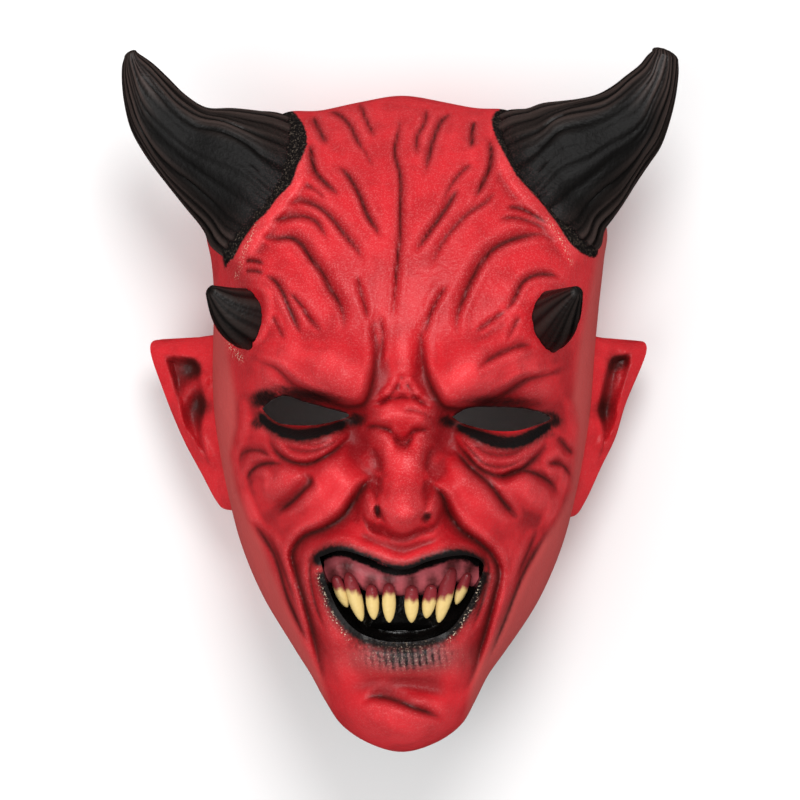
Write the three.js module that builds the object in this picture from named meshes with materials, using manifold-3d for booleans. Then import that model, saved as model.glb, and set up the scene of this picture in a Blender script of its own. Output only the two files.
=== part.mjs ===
// A devil mask of cast latex rubber: one hollow skin with ears, four horns, lips, gum and teeth.
// It lies on its back rim, face up: +X is the viewer's right, +Y the crown, +Z out of the face.
// Millimetres throughout.
import * as THREE from "three";
import { mergeVertices } from "three/addons/utils/BufferGeometryUtils.js";
import Module from "manifold-3d";

// Driving sizes
const WALL = 3.2;                // thickness of the rubber
const VIEW_HEIGHT = 1400;        // height of the viewpoint that the front view below is drawn from
const FACE_LEVEL = 95;           // height above the rim where front-view sizes are the real ones
const MIDDLE = [0.7, -5];        // centre of the face in the front view
const RIM_TUCK = 0.03;           // share by which the sides draw in towards the rim
const JAW_TUCK = 0.14;           // and by which the underside of the chin does
const NECK = { half_width: 40, height: 60, from: -160, to: -55 };
const MOUTH = { floor: 99, gum_front: 111, teeth_front: 112, tooth_depth: 2.1, bend: 7, half_width: 28 };
const DOME = { edge: 42, chin_rise: 48, roundness: 2.9, chin_roundness: 3, fullness: 0.55 };
// The skin pushed up beside a furrow, in the furrow's half widths
const BANK = { high: 0.35, at: 2.3, width: 1.1 };
// How steeply rolls and furrows fall off, and how far they're felt, in their half widths
const ROLL = { steep: 0.7, power: 2.6, reach: 3 };
const FURROW = { power: 1.8, reach: 4 };
// The inside keeps a wall from all forms within this distance, and follows this share of the furrows
const INSIDE = { near: 3.8, furrow_share: 0.6 };
// The skin's inside is lowered behind the mouth
const MOUTH_ROOM = { at: [0.5, -71], size: [36, 24], high: 1.6, turn: 0, gap: 0.5 };
const SKIN_COLOUR = 0xcf2a30;

// Silhouette of the head from crown to chin, as half width and height in the front view
const OUTLINE = [
  [0, 108.5], [14, 106.4], [27.5, 103.2], [40, 98.8], [52, 92], [62, 82], [69, 70], [71.3, 60],
  [69.8, 50], [68.5, 36], [68, 23], [66.5, -7], [60.5, -39], [56, -54.5], [48.5, -71.5], [37.5, -89],
  [31.5, -98], [26.5, -107.5], [21.5, -115.5], [12.5, -122], [0, -125.5],
];
// The head is uneven: how far it stands to the right, around which height and over what span
const LEANS = [{ by: 2, at: 47, over: 28 }, { by: -0.8, at: -100, over: 14 }];
// Bulges of the silhouette at the horns' collars: direction and half width in degrees, height
const COLLARS = [{ at: 70.5, high: 3.2, wide: 4.5 }, { at: 111.5, high: 4, wide: 4.5 }];

// Height of the bare face along its middle, from chin to crown: front-view height, level above the rim
const PROFILE = [
  [-128, 121], [-112, 116], [-98, 112], [-85, 112], [-65, 113], [-45, 113], [-12, 111], [0, 113],
  [25, 114], [55, 110], [85, 102], [112, 88],
];

// Broad forms: oval swellings and hollows
const SWELLINGS = {
  socket_left: { at: [-33.5, -4.5], size: [18, 6], high: -12, turn: -4 },
  socket_right: { at: [35.5, -5.5], size: [18, 6], high: -12, turn: 4 },
  inner_corner_left: { at: [-15, -11.5], size: [6, 8], high: -7, turn: 0 },
  inner_corner_right: { at: [16.5, -12], size: [5.5, 8], high: -7, turn: 0 },
  brow_bulge_left: { at: [-22, 11], size: [11, 9.5], high: 5.5, turn: -20 },
  brow_bulge_right: { at: [24.5, 10], size: [11.5, 9.5], high: 5.5, turn: 20 },
  nose_ball: { at: [1.2, -39.8], size: [9, 8.8], high: 9.5, turn: 0 },
  nose_wing_left: { at: [-10.4, -38], size: [3.8, 6.6], high: 8, turn: 10 },
  nose_wing_right: { at: [12.8, -37.4], size: [3.8, 6.6], high: 8, turn: -10 },
  muzzle: { at: [1, -57], size: [30, 13.5], high: 7, turn: 0 },
  chin: { at: [0.5, -114.5], size: [18, 10.5], high: 8, turn: 0 },
  under_lip: { at: [1.5, -103], size: [16.5, 4.5], high: -3, turn: 0 },
  temple_left: { at: [-57, -2], size: [7, 21.5], high: -4, turn: 0 },
  temple_right: { at: [59.5, -2], size: [7, 21.5], high: -4, turn: 0 },
  cheek_hollow_left: { at: [-49, -57], size: [8, 18], high: -5, turn: -15 },
  cheek_hollow_right: { at: [51.5, -57], size: [8, 18], high: -5, turn: 15 },
  cheek_ball_left: { at: [-42.5, -29], size: [10, 6], high: 3.5, turn: -14 },
  cheek_ball_right: { at: [46, -33], size: [12, 8], high: 3.5, turn: 14 },
  horn_bump_left: { at: [-50.5, 33], size: [14, 13], high: 3, turn: 0 },
  horn_bump_right: { at: [52.5, 31], size: [15, 13], high: 3, turn: 0 },
};

// Rounded rolls of flesh along a line: half width, height at each end, share of the line that fades
const ROLLS = {
  brow_left: { wide: 8.2, high: [7, 8], fade: [0.4, 0],
    way: [[-53, 15.5], [-39, 13.5], [-26.5, 9], [-17, 4.5]] },
  brow_right: { wide: 8.2, high: [7, 8], fade: [0.4, 0],
    way: [[55.5, 15.5], [41, 13.5], [29, 9], [20, 3.5]] },
  frown_left: { wide: 8.5, high: [3, 3], fade: [0, 0.7],
    way: [[-17, 5.5], [-18, 17], [-21.5, 32]] },
  frown_right: { wide: 8.5, high: [3, 3], fade: [0, 0.7],
    way: [[20, 5], [20, 17], [23.5, 32]] },
  bridge: { wide: 7.8, high: [5, 5], fade: [0, 0],
    way: [[-5, -8.5], [2, -6.5], [8.5, -8.5]] },
  nose: { wide: 7.2, high: [8, 15], fade: [0.3, 0],
    way: [[2, -13.5], [2, -25], [1.5, -38.5]] },
  cheek_left: { wide: 8.9, high: [8, 8], fade: [0.3, 0.5],
    way: [[-13, -22], [-21.5, -30], [-31, -38.5], [-39, -47]] },
  cheek_right: { wide: 8.9, high: [8, 8], fade: [0.3, 0.5],
    way: [[14, -22], [22.5, -30], [32.5, -39], [40, -48.5]] },
  cheekbone_left: { wide: 7.8, high: [5, 5], fade: [0.5, 0.5],
    way: [[-49, -25], [-42, -30.5], [-38.5, -35.5]] },
  cheekbone_right: { wide: 8.5, high: [5, 5], fade: [0.5, 0.5],
    way: [[52, -27.5], [45.5, -33.5], [41, -37.5]] },
  eye_bag_left: { wide: 5, high: [3.5, 3.5], fade: [0.3, 0.3],
    way: [[-49, -13], [-41, -18], [-30.5, -18.5], [-20.5, -13.5]] },
  eye_bag_right: { wide: 5, high: [3.5, 3.5], fade: [0.3, 0.3],
    way: [[52.5, -14], [44, -19.5], [32.5, -20], [22, -14]] },
  upper_lip: { wide: 3.2, high: [3.5, 3.5], fade: [0.15, 0.15],
    way: [[-31, -54], [-21.5, -52], [-10, -55], [0.5, -58.5], [12, -55.5], [24, -54], [32, -56.5]] },
  lower_lip: { wide: 4.6, high: [5, 5], fade: [0.25, 0.25],
    way: [[-19.5, -86], [-10.5, -91.5], [1, -93], [13.5, -91], [22, -86]] },
  mouth_edge_left: { wide: 3.9, high: [4, 4], fade: [0.2, 0.4],
    way: [[-33.5, -57], [-33.5, -67.5], [-29.5, -79], [-22.5, -89]] },
  mouth_edge_right: { wide: 3.9, high: [4, 4], fade: [0.2, 0.4],
    way: [[34.5, -58.5], [33.5, -68], [29, -79], [23.5, -89]] },
  jaw_fold_left: { wide: 3.2, high: [3, 3], fade: [0.3, 0.4],
    way: [[-44, -57], [-39, -71], [-33.5, -87], [-27.5, -98]] },
  jaw_fold_right: { wide: 3.2, high: [3, 3], fade: [0.3, 0.4],
    way: [[44, -58.5], [38.5, -73], [33.5, -87], [28.5, -99.5]] },
  horn_lip_left: { wide: 2.6, high: [3.5, 3.5], fade: [0.2, 0.25],
    way: [[-33.5, 93], [-36, 80.5], [-43, 69.5], [-50, 60.5], [-55.5, 51], [-58, 43]] },
  horn_lip_right: { wide: 2.6, high: [3.5, 3.5], fade: [0.2, 0.25],
    way: [[33, 94], [39.5, 80.5], [47.5, 70], [55, 61.5], [60, 54.5], [64, 46]] },
};

// Furrows along a line: half width, depth, share of the line that fades
const FURROWS = {
  forehead_middle: { wide: 2.4, deep: 1.4, fade: [0.1, 0.2],
    way: [[0, 104.5], [0.5, 74.5], [-0.5, 53], [-3, 29]] },
  forehead_left_1: { wide: 2.4, deep: 1.5, fade: [0.3, 0.3],
    way: [[-24.5, 82.5], [-17.5, 77.5], [-11, 65.5], [-8, 58]] },
  forehead_left_2: { wide: 2.6, deep: 1.9, fade: [0.2, 0.3],
    way: [[-42, 70], [-35.5, 71.5], [-26, 66], [-14.5, 52]] },
  forehead_left_3: { wide: 3, deep: 2.4, fade: [0.2, 0.25],
    way: [[-47, 59], [-38.5, 59.5], [-31, 50.5], [-24, 40], [-19.5, 25]] },
  forehead_left_4: { wide: 2.6, deep: 1.7, fade: [0.2, 0.35],
    way: [[-48.5, 45], [-42, 39.5], [-38.5, 30], [-32.5, 24]] },
  forehead_right_1: { wide: 2.6, deep: 1.7, fade: [0.3, 0.3],
    way: [[25, 81], [19.5, 71.5], [13, 62.5], [5.5, 52.5]] },
  forehead_right_2: { wide: 2.4, deep: 1.4, fade: [0.3, 0.3],
    way: [[35, 75], [27.5, 68.5], [18.5, 59], [11.5, 48]] },
  forehead_right_3: { wide: 3, deep: 2.4, fade: [0.2, 0.25],
    way: [[57, 57], [46, 59], [35.5, 54.5], [26.5, 44], [20, 23.5]] },
  forehead_right_4: { wide: 2.6, deep: 1.7, fade: [0.2, 0.4],
    way: [[50.5, 46], [43.5, 42], [39.5, 34], [35.5, 29]] },
  frown_left: { wide: 2.9, deep: 3.2, fade: [0.35, 0.1],
    way: [[-9, 27.5], [-7.5, 18], [-9.5, 5.5], [-14, -1]] },
  frown_right: { wide: 2.9, deep: 3.4, fade: [0.3, 0.1],
    way: [[6.5, 26], [8, 15.5], [10.5, 5.5], [16.5, -3]] },
  lid_fold_left: { wide: 2.9, deep: 3, fade: [0.3, 0.2],
    way: [[-51.5, 13.8], [-44.4, 11.4], [-38.3, 5.7], [-32.7, 2.1], [-23.1, -1.4], [-14, -2]] },
  lid_fold_right: { wide: 2.9, deep: 3, fade: [0.3, 0.2],
    way: [[58.5, 10.6], [45, 7.2], [38.7, 3.2], [33.2, 0], [26.8, -2.8], [17, -3]] },
  sneer_left: { wide: 2.9, deep: 3.4, fade: [0.1, 0.1],
    way: [[-8, -27], [-16, -35.4], [-20.7, -41.7], [-27, -45.7], [-34.2, -48.8], [-38.2, -54.4]] },
  sneer_right: { wide: 2.9, deep: 3.4, fade: [0.1, 0.1],
    way: [[10.2, -29], [14.9, -33.8], [17.3, -40.1], [22, -46.5], [28.4, -51.2], [35, -59]] },
  mouth_side_left: { wide: 2.6, deep: 2.8, fade: [0, 0.3],
    way: [[-36.5, -54], [-38, -65.5], [-34.5, -82.5], [-27.5, -99]] },
  mouth_side_right: { wide: 2.6, deep: 2.8, fade: [0, 0.3],
    way: [[35.5, -59.5], [34.5, -69.5], [31, -84], [25.5, -100]] },
  jaw_left: { wide: 2.4, deep: 1.9, fade: [0.2, 0.3],
    way: [[-53, -42.5], [-45, -54.5], [-40, -70.5], [-31, -90.5]] },
  jaw_right: { wide: 2.4, deep: 1.9, fade: [0.2, 0.3],
    way: [[52.5, -47], [44.5, -60.5], [37.5, -78], [30.5, -95]] },
  cheek_left: { wide: 2.6, deep: 1.9, fade: [0.2, 0.3],
    way: [[-29, -25], [-31.5, -30], [-35, -35], [-41, -39.5]] },
  cheek_right: { wide: 2.9, deep: 2.2, fade: [0.25, 0.25],
    way: [[18.5, -16.5], [27.5, -22.5], [33.5, -32.5], [41, -43.5]] },
  chin: { wide: 2.4, deep: 1.5, fade: [0.3, 0.3],
    way: [[-7, -104.5], [3, -108.5], [15.5, -113.5]] },
};

// Openings in the front view
const EYES = {
  left: [
    [-49, -3], [-45.5, 0], [-41, 1.5], [-33, -1], [-25.5, -3], [-18, -5.5],
    [-25, -8], [-31, -9], [-38, -9], [-43.5, -8], [-47.5, -5],
  ],
  right: [
    [18.5, -6], [24, -3], [33.5, -2.5], [43.5, -3], [50, -4.5], [53.5, -6.5],
    [47, -9.5], [41, -11], [33.5, -11], [28, -10], [21.5, -8],
  ],
};
const MOUTH_EDGE = [
  [-28.6, -56], [-21, -53.7], [-9.5, -57], [0.5, -60.5], [12, -57], [24, -55.5],
  [29.6, -58.4], [27.2, -67], [22.4, -76], [17.2, -82.2], [9.5, -85.4], [0.5, -86.4],
  [-8, -85.5], [-15.6, -82.2], [-21.6, -75.5], [-25.8, -66.2],
];
// Depths of the mouth's pocket, and the share of the mouth's outline that it has there
const MOUTH_STEPS = [[160, 1], [MOUTH.floor + 7, 1], [MOUTH.floor + 2, 0.94], [MOUTH.floor, 0.8]];
// The slit runs down towards the chin, so it isn't seen through from the front
const BREATHING_SLIT = { at: [0.5, -80.5], size: [11, 1.9], from: [90, -9], to: [102, 3] };
const EYE_CUT = [[40, 1], [160, 1]];

const GUM = {
  radius: 6.7,
  way: [[-27, -59.5], [-19, -58.7], [-10, -62.3], [0.5, -63.4], [11, -62.3], [20, -59], [28, -61]],
};

// Teeth from the gum to the tip
const TEETH = [
  { root: [-22.9, -63.5], tip: [-18.7, -74], wide: 4.6 },
  { root: [-18.2, -62.8], tip: [-13.5, -79], wide: 5.3 },
  { root: [-10.2, -66.7], tip: [-9.2, -78.4], wide: 4.8 },
  { root: [-4, -66.2], tip: [-3.8, -79.5], wide: 5 },
  { root: [4.1, -67], tip: [4.1, -79.5], wide: 5.2 },
  { root: [11.2, -66.7], tip: [9.3, -77.9], wide: 5 },
  { root: [18.1, -60.6], tip: [13.7, -79.5], wide: 5.8 },
  { root: [24, -62.2], tip: [19.9, -73], wide: 4.2 },
];

// Along a tooth from its root to its tip: share of its length, and of its full width
const TOOTH_STEPS = [[-0.06, 0.5], [0.1, 0.86], [0.5, 1], [0.75, 0.8], [0.93, 0.4]];

// Big horns: the two edges of each cross section in the front view, from root to tip. At the root the
// middle of the section has its own level, tilts down towards the crown, and bows in over the face
const BIG_HORNS = {
  left: {
    edges: [
      [[-62, 50], [-37, 101]], [[-67.8, 54.7], [-44.4, 103]], [[-70.1, 60.5], [-50.4, 103.5]],
      [[-76.9, 69.2], [-59.6, 104.3]], [[-83.4, 77.4], [-68.8, 104.5]], [[-90, 86.3], [-76, 108.8]],
      [[-95.5, 96], [-82.3, 115]], [[-97.9, 105.1], [-87.2, 119.7]], [[-98.9, 113.6], [-90.5, 122.1]],
      [[-98.8, 119.1], [-92.5, 123.4]], [[-98, 122.1], [-93.5, 124.2]],
    ],
    tip: [-95.9, 124.5],
    root: { level: 57, tilt: -14, bow: 12 },
  },
  right: {
    edges: [
      [[65.7, 52.5], [34.4, 101.9]], [[71.4, 54], [38.3, 103.7]], [[73.1, 60.7], [45.3, 104.4]],
      [[75.8, 64.6], [50.2, 106]], [[79.6, 70], [56.7, 106.8]], [[84, 77.1], [63.8, 107.6]],
      [[88.4, 83.7], [70.3, 109.2]], [[92.7, 90.2], [75.3, 112]], [[96, 99.5], [79.6, 115.3]],
      [[98.2, 108.7], [85.1, 119.6]], [[99.1, 116.9], [87.8, 122.9]], [[98.9, 121.4], [89.5, 124.4]],
    ],
    tip: [93.7, 125.4],
    root: { level: 55.5, tilt: -10, bow: -9 },
  },
};
const BIG_HORN = {
  tip_level: 66, root_depth: 0.86, tip_depth: 0.95, flutes: 13, flute_depth: 0.05,
  root_share: 0.32, plug_depth: 8, plug_size: 0.8,
};

// Small horns: centre and radius of the root, and the tip
const SMALL_HORNS = {
  left: { root: [-50.5, 28.5, 83.3], tip: [-67.6, 39.2, 99], radius: 12, bow: 2 },
  right: { root: [47.6, 26.8, 84.2], tip: [63.2, 38.8, 114.5], radius: 12.5, bow: 2 },
};
const SMALL_HORN = { steps: 6, taper: 1.5, tip_radius: 2 };

// Ears in the front view: outer edge from tip to lobe, where the ear enters the head, its hollow,
// the ridge inside the hollow, and the two deepest places
const EARS = {
  left: {
    edge: [
      [-84.5, 21.7], [-87.9, 20.9], [-88.8, 18.6], [-83.5, 1.8], [-76.8, -14.4], [-70.2, -26.8],
      [-65.4, -35.8], [-63, -38.6], [-59, -39.5],
    ],
    inner: -55, top: 24.9, foot: -37,
    hollow: [
      [-84.5, 16], [-76.8, 16], [-72.6, 15], [-70.6, 12], [-69.9, 7], [-68.7, -2], [-69.9, -10],
      [-68.9, -16], [-67.3, -24], [-70, -21], [-74, -14.4], [-77.3, -9.2], [-79.2, -2], [-83, 12],
    ],
    ridge: [[-70.2, 7], [-74.9, 3.7], [-77.5, -1.5], [-76.8, -7.5], [-72.1, -13.5], [-69.2, -19.2]],
    deep: [[-73, 11], [-69.5, -2]],
    lobe: [-63, -33.4],
  },
  right: {
    edge: [
      [84, 21.2], [86.8, 20.6], [87.7, 18.3], [80.1, -1.6], [76.5, -13.5], [71.5, -23.9],
      [65.8, -36.2], [62.5, -41], [59, -42],
    ],
    inner: 57, top: 25, foot: -38,
    hollow: [
      [73.5, 12.7], [74.9, 15.1], [77.7, 16.3], [82, 16.8], [82, 11], [80.1, 3.7], [78.2, -1.1],
      [77.5, -6.8], [75.3, -12.4], [70.3, -22], [71.5, -13.5], [71.1, -8.7], [70.1, -4.4], [72, 8],
    ],
    ridge: [[79, 9], [78, 3], [77, -3], [75.4, -10], [72.5, -16]],
    deep: [[76.3, 14], [71.5, -3.5]],
    lobe: [65, -35.5],
  },
};
const EAR = {
  level: 50, lean: 14, sweep: 12, root_thick: 10, edge_thick: 5, end_thin: 0.3, top_sag: 1.1,
  hollow_deep: 4.5, hollow_edge: 3, spread: 0.8, lean_power: 1.5, end_steep: 6,
  ridge_high: 3, ridge_width: 2.2, deepest: 2.5, deep_size: 4, lobe_high: 2, lobe_size: 5,
};

const wasm = await Module();
wasm.setup();

// Numbers and curves

function smooth(share) {
  const t = Math.min(1, Math.max(0, share));
  return t * t * (3 - 2 * t);
}

function curveThrough(points, steps) {
  const curve = new THREE.CatmullRomCurve3(points.map(([x, y, z = 0]) => new THREE.Vector3(x, y, z)));
  return curve.getPoints(steps);
}

// How far a point lies from a line, and at which share of its length
function beside(x, y, line) {
  let nearest = Infinity;
  let share = 0;
  for (let i = 0; i + 1 < line.length; i += 1) {
    const from = line[i];
    const dx = line[i + 1].x - from.x;
    const dy = line[i + 1].y - from.y;
    const t = Math.min(1, Math.max(0, ((x - from.x) * dx + (y - from.y) * dy) / (dx * dx + dy * dy)));
    const distance = Math.hypot(x - from.x - t * dx, y - from.y - t * dy);
    if (distance < nearest) {
      nearest = distance;
      share = (i + t) / (line.length - 1);
    }
  }
  return { distance: nearest, share };
}

// Distance inside a closed loop that runs round with the clock or against it, 0 outside
function depthInside(x, y, loop) {
  let inside = false;
  for (let i = 0; i < loop.length; i += 1) {
    const a = loop[i];
    const b = loop[(i + 1) % loop.length];
    const crosses = (a.y > y) !== (b.y > y);
    if (crosses && x < ((b.x - a.x) * (y - a.y)) / (b.y - a.y) + a.x) inside = !inside;
  }
  return inside ? beside(x, y, [...loop, loop[0]]).distance : 0;
}

function ends(share, [start, end]) {
  const first = start > 0 ? smooth(share / start) : 1;
  const last = end > 0 ? smooth((1 - share) / end) : 1;
  return first * last;
}

// Outline of the head as a radius for each direction from the middle of the face

function bell(distance, wide) {
  return Math.exp(-((distance / wide) ** 2));
}

function leanAt(y) {
  return MIDDLE[0] + LEANS.reduce((sum, { by, at, over }) => sum + by * bell(y - at, over), 0);
}

function collarAt(angle) {
  const degrees = THREE.MathUtils.radToDeg(angle);
  return COLLARS.reduce((sum, { at, high, wide }) => sum + high * bell(degrees - at, wide), 0);
}

// The right half runs on past the crown and the chin, so that it meets its mirror image smoothly
const outlinePoints = (() => {
  const perSpan = 9;
  const beyond = [OUTLINE[1], OUTLINE[OUTLINE.length - 2]].map(([x, y]) => [-x, y]);
  const whole = [beyond[0], ...OUTLINE, beyond[1]];
  const right = curveThrough(whole, perSpan * (whole.length - 1)).slice(perSpan, -perSpan);
  const left = right.slice(1, -1).reverse().map((p) => new THREE.Vector3(-p.x, p.y, 0));
  return [...right, ...left]
    .map((p) => {
      const [x, y] = [p.x + leanAt(p.y) - MIDDLE[0], p.y - MIDDLE[1]];
      const angle = Math.atan2(y, x);
      return { angle, radius: Math.hypot(x, y) + collarAt(angle) };
    })
    .sort((a, b) => a.angle - b.angle);
})();

function outlineRadius(angle) {
  const count = outlinePoints.length;
  const turned = Math.atan2(Math.sin(angle), Math.cos(angle));
  const next = outlinePoints.findIndex((p) => p.angle >= turned);
  const b = outlinePoints[next < 0 ? 0 : next];
  const a = outlinePoints[((next < 0 ? 0 : next) + count - 1) % count];
  const span = THREE.MathUtils.euclideanModulo(b.angle - a.angle, 2 * Math.PI);
  const gone = THREE.MathUtils.euclideanModulo(turned - a.angle, 2 * Math.PI);
  return a.radius + (b.radius - a.radius) * (span > 0 ? Math.min(1, gone / span) : 0);
}

// Level of the face's edge, higher at the chin than at the temples
function edgeLevel(angle) {
  return DOME.edge + DOME.chin_rise * Math.max(0, -Math.sin(angle)) ** 4;
}

function middleLevel(y) {
  let i = 0;
  while (i < PROFILE.length - 2 && y > PROFILE[i + 1][0]) i += 1;
  const slope = (k) => {
    const [before, after] = [PROFILE[Math.max(0, k - 1)], PROFILE[Math.min(PROFILE.length - 1, k + 1)]];
    return (after[1] - before[1]) / (after[0] - before[0]);
  };
  const [y0, z0] = PROFILE[i];
  const [y1, z1] = PROFILE[i + 1];
  const t = Math.min(1, Math.max(0, (y - y0) / (y1 - y0)));
  const [t2, t3] = [t * t, t * t * t];
  return (2 * t3 - 3 * t2 + 1) * z0 + (t3 - 2 * t2 + t) * (y1 - y0) * slope(i)
    + (3 * t2 - 2 * t3) * z1 + (t3 - t2) * (y1 - y0) * slope(i + 1);
}

// The smooth dome that the features stand on
function domeLevel(x, y) {
  const angle = Math.atan2(y - MIDDLE[1], x - MIDDLE[0]);
  const out = Math.min(1, Math.hypot(x - MIDDLE[0], y - MIDDLE[1]) / outlineRadius(angle));
  const roundness = DOME.roundness + DOME.chin_roundness * Math.max(0, -Math.sin(angle)) ** 6;
  return edgeLevel(angle) + (middleLevel(y) - edgeLevel(angle)) * (1 - out ** roundness) ** DOME.fullness;
}

function swelling(x, y, { at, size, high, turn }) {
  const angle = THREE.MathUtils.degToRad(turn);
  const [dx, dy] = [x - at[0], y - at[1]];
  const across = (dx * Math.cos(angle) + dy * Math.sin(angle)) / size[0];
  const along = (dy * Math.cos(angle) - dx * Math.sin(angle)) / size[1];
  return high * Math.exp(-((across * across + along * along) ** 1.3));
}

function withLine(form) {
  return { ...form, line: curveThrough(form.way, 16) };
}

const rollLines = Object.values(ROLLS).map(withLine);
const furrowLines = Object.values(FURROWS).map(withLine);

function rolls(x, y) {
  let sum = 0;
  for (const { wide, high, fade, line } of rollLines) {
    const { distance, share } = beside(x, y, line);
    if (distance < ROLL.reach * wide) {
      const height = high[0] + (high[1] - high[0]) * share;
      sum += height * ends(share, fade) * Math.exp(-ROLL.steep * (distance / wide) ** ROLL.power);
    }
  }
  return sum;
}

function furrows(x, y) {
  let sum = 0;
  for (const { wide, deep, fade, line } of furrowLines) {
    const { distance, share } = beside(x, y, line);
    if (distance < FURROW.reach * wide) {
      const u = distance / wide;
      const bank = BANK.high * bell(u - BANK.at, BANK.width);
      sum += deep * ends(share, fade) * (bank - Math.exp(-(u ** FURROW.power)));
    }
  }
  return sum;
}

function broadForms(x, y) {
  return Object.values(SWELLINGS).reduce((sum, form) => sum + swelling(x, y, form), 0) + rolls(x, y);
}

function outerLevel(x, y) {
  return domeLevel(x, y) + broadForms(x, y) + furrows(x, y);
}

// The inside stays a wall's thickness below the lowest of the forms around, and goes round the mouth
function innerLevel(x, y) {
  const reach = INSIDE.near;
  const around = [[0, 0], [reach, 0], [-reach, 0], [0, reach], [0, -reach]];
  const formsAt = ([dx, dy]) => {
    return broadForms(x + dx, y + dy) + INSIDE.furrow_share * Math.min(0, furrows(x + dx, y + dy));
  };
  const level = domeLevel(x, y) + Math.min(...around.map(formsAt)) - WALL;
  const behindMouth = MOUTH.floor - WALL - MOUTH_ROOM.gap;
  const pocket = swelling(x, y, MOUTH_ROOM);
  return level - Math.min(1, pocket) * Math.max(0, level - behindMouth);
}

// Solids

function centreOf(ring) {
  return ring.reduce((sum, p) => sum.addScaledVector(p, 1 / ring.length), new THREE.Vector3());
}

// A closed solid over rings of points that all have one count, from a start point to an end point
function solidFrom(rings, start, end) {
  const count = rings[0].length;
  const positions = [];
  for (const point of [start, end, ...rings.flat()]) positions.push(point.x, point.y, point.z);
  const at = (ring, i) => 2 + ring * count + ((i + count) % count);
  const faces = [];
  for (let i = 0; i < count; i += 1) {
    faces.push(0, at(0, i), at(0, i + 1));
    faces.push(1, at(rings.length - 1, i + 1), at(rings.length - 1, i));
    for (let ring = 0; ring + 1 < rings.length; ring += 1) {
      const next = (i + 1) % count;
      const [a, b] = [at(ring, i), at(ring, next)];
      const [c, d] = [at(ring + 1, i), at(ring + 1, next)];
      const ahead = rings[ring][i].distanceTo(rings[ring + 1][next]);
      const shorter = ahead < rings[ring][next].distanceTo(rings[ring + 1][i]);
      faces.push(...(shorter ? [a, c, d, a, d, b] : [a, c, b, b, c, d]));
    }
  }
  const geometry = new THREE.BufferGeometry();
  geometry.setAttribute("position", new THREE.Float32BufferAttribute(positions, 3));
  geometry.setIndex(faces);
  return manifoldOf(geometry);
}

function volumeOf(positions, index) {
  const [a, b, c] = [new THREE.Vector3(), new THREE.Vector3(), new THREE.Vector3()];
  let volume = 0;
  for (let i = 0; i < index.count; i += 3) {
    a.fromBufferAttribute(positions, index.getX(i));
    b.fromBufferAttribute(positions, index.getX(i + 1));
    c.fromBufferAttribute(positions, index.getX(i + 2));
    volume += a.dot(b.cross(c)) / 6;
  }
  return volume;
}

function manifoldOf(source) {
  const bare = source.clone();
  bare.deleteAttribute("normal");
  bare.deleteAttribute("uv");
  const geometry = mergeVertices(bare, 1e-4);
  const faces = [];
  for (let i = 0; i < geometry.index.count; i += 3) {
    const [a, b, c] = geometry.index.array.slice(i, i + 3);
    if (a !== b && b !== c && c !== a) faces.push(a, b, c);
  }
  geometry.setIndex(faces);
  const triVerts = new Uint32Array(faces);
  if (volumeOf(geometry.attributes.position, geometry.index) < 0) {
    for (let i = 0; i < triVerts.length; i += 3) {
      [triVerts[i + 1], triVerts[i + 2]] = [triVerts[i + 2], triVerts[i + 1]];
    }
  }
  const vertProperties = new Float32Array(geometry.attributes.position.array);
  return new wasm.Manifold(new wasm.Mesh({ numProp: 3, vertProperties, triVerts }));
}

// A dome of rings round the middle of the face, with side walls down to the given foot
function dome(levelAt, { around, out, down, inset, foot }) {
  const rings = [];
  const ringAt = (share, place, step = 1) => {
    const ring = [];
    for (let i = 0; i < around; i += 1) {
      const angle = (2 * Math.PI * (i - (i % step))) / around;
      const radius = outlineRadius(angle) - inset;
      ring.push(place(angle, radius, share));
    }
    return ring;
  };
  const onFace = (angle, radius, share) => {
    const spread = 0.5 * share + 0.5 * Math.sin((share * Math.PI) / 2);
    const x = MIDDLE[0] + radius * spread * Math.cos(angle);
    const y = MIDDLE[1] + radius * spread * Math.sin(angle);
    const full = 1 + inset / radius;
    const level = levelAt(MIDDLE[0] + (x - MIDDLE[0]) * full, MIDDLE[1] + (y - MIDDLE[1]) * full);
    return new THREE.Vector3(x, y, level);
  };
  const onWall = (angle, radius, share) => {
    const tuck = RIM_TUCK + (JAW_TUCK - RIM_TUCK) * Math.max(0, -Math.sin(angle)) ** 2;
    const drawn = radius * (1 - tuck * smooth(share));
    const top = edgeLevel(angle) - inset;
    const level = top + (foot - top) * share;
    const [x, y] = [MIDDLE[0] + drawn * Math.cos(angle), MIDDLE[1] + drawn * Math.sin(angle)];
    return new THREE.Vector3(x, y, level);
  };
  for (let i = 1; i <= out; i += 1) {
    const step = i / out < 0.1 ? 4 : i / out < 0.2 ? 2 : 1;
    rings.push(ringAt(i / out, onFace, step));
  }
  for (let i = 1; i <= down; i += 1) rings.push(ringAt(i / down, onWall));
  const middle = new THREE.Vector3(MIDDLE[0], MIDDLE[1], levelAt(...MIDDLE));
  return solidFrom(rings, middle, new THREE.Vector3(MIDDLE[0], MIDDLE[1], foot));
}

// A block with the given outline, for cutting through the skin: each level has its share of the
// outline and how far it's moved towards the crown
function block(points, levels) {
  const outline = points.map(([x, y]) => new THREE.Vector3(x, y, 0));
  const centre = centreOf(outline);
  const rings = levels.map(([level, share, moved = 0]) => {
    return outline.map((p) => {
      const { x, y } = centre.clone().lerp(p, share);
      return new THREE.Vector3(x, y + moved, level);
    });
  });
  return solidFrom(rings, centreOf(rings[0]), centreOf(rings[rings.length - 1]));
}

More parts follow.
